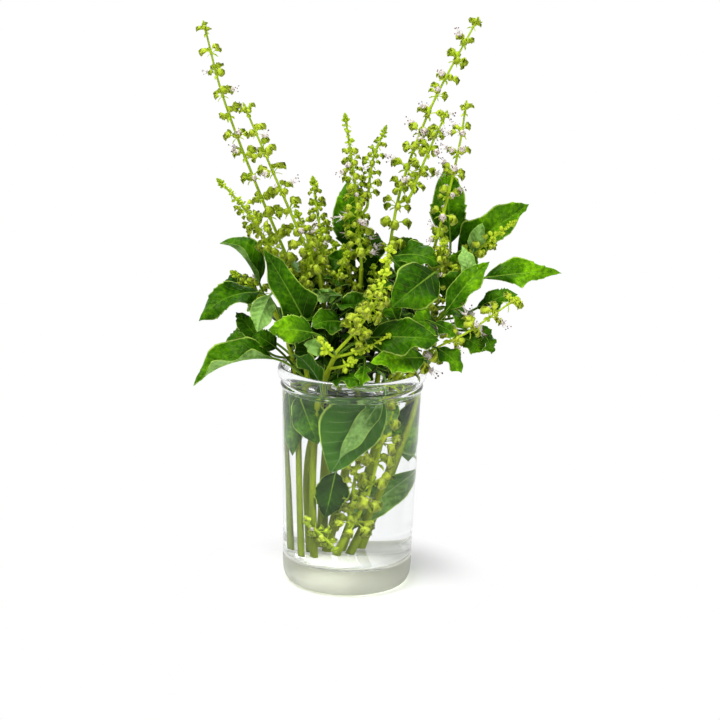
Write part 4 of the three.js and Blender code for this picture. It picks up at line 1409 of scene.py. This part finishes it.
class BASIL_OT_racemes(bpy.types.Operator):
    """Make each flower spike: its rachis, calyces on stalks, bracts, buds and open flowers"""

    bl_idname = "basil.racemes"
    bl_label = "Flower spikes"

    def execute(self, context):
        s = context.scene.basil_racemes
        skins = [
            soft_green("basil_calyx_downy", s.young, s.ripe, s.edge, through_share=0.38, rough=0.5),
            soft_green("basil_calyx_inside", s.inside, s.inside, s.edge, through_share=0.25, rough=0.7),
            petal_skin("basil_petal", s.petal, s.blush, through_share=0.5),
            petal_skin("basil_filament", s.petal, s.blush, through_share=0.2),
            petal_skin("basil_anther_pollen", s.anther, POLLEN_SPOTS, through_share=0.0),
        ]
        shapes = SimpleNamespace(
            calyx=calyx_body(s), bud=bud_body(s), corolla=corolla_body(s), stamens=stamen_bodies(s),
            bract=bract_body(),
        )
        for seed, name in enumerate(SPIKES):
            body = spike_body(*spike_on_node(name), SPIKE_LOOKS.get(name, {}), shapes, SEEDS.spike + seed)
            make_piece(f"{name}_flowers", body, skins, name)
        for seed, (stem, z, tip, bare, whorls, look) in enumerate(SIDE_SPIKES):
            body = spike_body(*spike_on_knee(stem, z, tip, bare, whorls), look, shapes, SEEDS.side + seed)
            make_piece(f"side_spike_{seed + 1}_flowers", body, skins)
        return {"FINISHED"}


# ---- stage ----


def facing(place, back, roll=0.0):
    """The placement of a camera or lamp whose back points along back, leaning by roll."""
    right = unit(np.cross(Z_AXIS, back))
    over = np.cross(back, right)
    c, w = math.cos(roll), math.sin(roll)
    right, over = c * right + w * over, c * over - w * right
    return Matrix.Translation(place) @ Matrix([[right[i], over[i], back[i]] for i in range(3)]).to_4x4()


# Each lamp's place and breadth in metres and its power in watts, and the place that all of them face.
LAMPS = {
    "key_lamp": ((-0.35, -0.45, 1.25), 0.6, 18.5),
    "fill_lamp": ((0.8, -0.9, 0.35), 0.5, 4.5),
    "back_lamp": ((0.3, 0.9, 0.9), 0.8, 5.0),
}
LAMP_AIM = (0, 0, 0.13)
SKY = 0.16  # how strongly the surroundings light the bunch, as a share of white
TABLE_REACH = 6.0  # metres from the glass to the table's edge
PAINT_REACH = (0.034, 0.075)  # metres from the glass's axis between which its paint turns to white
WHITE = (1, 1, 1, 1)


def seen_share(tree):
    """1 where a ray is the camera's own, mirrored or bent through glass, and 0 where it only brings light."""
    path = put(tree, "LightPath").outputs
    seen = put(tree, "Math", [path["Is Camera Ray"], path["Is Glossy Ray"]], operation="MAXIMUM")
    return put(tree, "Math", [seen, path["Is Transmission Ray"]], operation="MAXIMUM")


class BASIL_OT_stage(bpy.types.Operator):
    """Set the table, the soft lamps, the white surroundings and the camera"""

    bl_idname = "basil.stage"
    bl_label = "Stage"

    def execute(self, context):
        s = context.scene.basil_stage
        context.scene.view_settings.view_transform = "Standard"
        self.table(s)
        self.surroundings(context.scene)
        for name, (place, size, power) in LAMPS.items():
            self.lamp(name, place, size, power)
        aim = np.array([s.aside, 0.0, s.aim])
        place = np.array([0.0, -s.distance, s.rise])
        camera = bpy.data.objects.new("camera", bpy.data.cameras.new("camera"))
        camera.data.lens = s.lens
        camera.data.clip_start = 0.05
        camera.matrix_world = facing(place, unit(place - aim), s.roll)
        context.scene.collection.objects.link(camera)
        context.scene.camera = camera
        return {"FINISHED"}

    def table(self, s):
        """A wide table top in matt paint. Away from the glass it turns into the white of the surroundings
        where it is seen, and near the glass it takes the bunch's shadow."""
        mesh = bpy.data.meshes.new("table")
        corners = [(x * TABLE_REACH, y * TABLE_REACH, 0) for x, y in ((-1, -1), (1, -1), (1, 1), (-1, 1))]
        mesh.from_pydata(corners, [], [(0, 1, 2, 3)])
        table = bpy.data.objects.new("table", mesh)
        bpy.context.scene.collection.objects.link(table)
        material = new_material("matt_white_paint")
        tree = material.node_tree
        matt = put(tree, "BsdfPrincipled", {"Base Color": rgba(s.floor), "Roughness": 0.8})
        white = put(tree, "Emission", {"Color": WHITE, "Strength": 1.0})
        place = put(tree, "TexCoord").outputs["Object"]
        away = put(tree, "VectorMath", [place], operation="LENGTH")
        away = put(tree, "MapRange", [away, *PAINT_REACH], interpolation_type="SMOOTHSTEP")
        share = put(tree, "Math", [seen_share(tree), away], operation="MULTIPLY")
        put(tree, "OutputMaterial", [put(tree, "MixShader", [share, matt, white])])
        mesh.materials.append(material)

    def surroundings(self, scene):
        """White where they are seen, and a soft sky as light."""
        world = bpy.data.worlds.new("surroundings")
        scene.world = world
        world.use_nodes = True
        tree = world.node_tree
        tree.nodes.clear()
        white = put(tree, "Background", {"Color": WHITE, "Strength": 1.0})
        sky = put(tree, "Background", {"Color": WHITE, "Strength": SKY})
        put(tree, "OutputWorld", [put(tree, "MixShader", [seen_share(tree), sky, white])])

    def lamp(self, name, place, size, power):
        """A square soft lamp, facing the middle of the bunch."""
        data = bpy.data.lights.new(name, "AREA")
        data.size = size
        data.energy = power
        light = bpy.data.objects.new(name, data)
        light.matrix_world = facing(place, unit(np.subtract(place, LAMP_AIM)))
        bpy.context.scene.collection.objects.link(light)


# ---- the add-on ----

SETTINGS = {
    "basil_glass": GlassSettings,
    "basil_leaves": LeafSettings,
    "basil_racemes": SpikeSettings,
    "basil_stems": StemSettings,
    "basil_stage": StageSettings,
}
OPERATORS = (
    BASIL_OT_glass, BASIL_OT_water, BASIL_OT_stems, BASIL_OT_leaves, BASIL_OT_small_leaves,
    BASIL_OT_heart_leaves, BASIL_OT_racemes, BASIL_OT_stage,
)


class BASIL_PT_bunch(bpy.types.Panel):
    """Lists the pieces of the bunch and their sizes and colours"""

    bl_idname = "BASIL_PT_bunch"
    bl_label = "Holy basil"
    bl_space_type = "VIEW_3D"
    bl_region_type = "UI"
    bl_category = "Holy basil"

    def draw(self, context):
        for operator in OPERATORS:
            self.layout.operator(operator.bl_idname)
        for name, kind in SETTINGS.items():
            box = self.layout.box()
            for prop in kind.__annotations__:
                box.prop(getattr(context.scene, name), prop)


CLASSES = (*SETTINGS.values(), *OPERATORS, BASIL_PT_bunch)


def register():
    for kind in CLASSES:
        bpy.utils.register_class(kind)
    for name, kind in SETTINGS.items():
        setattr(bpy.types.Scene, name, bpy.props.PointerProperty(type=kind))


def unregister():
    for name in SETTINGS:
        delattr(bpy.types.Scene, name)
    for kind in reversed(CLASSES):
        bpy.utils.unregister_class(kind)


def main():
    register()
    bpy.ops.basil.glass()
    bpy.ops.basil.water()
    bpy.ops.basil.stems()
    bpy.ops.basil.leaves()
    bpy.ops.basil.small_leaves()
    bpy.ops.basil.heart_leaves()
    bpy.ops.basil.racemes()
    bpy.ops.basil.stage()


if __name__ == "__main__":
    main()
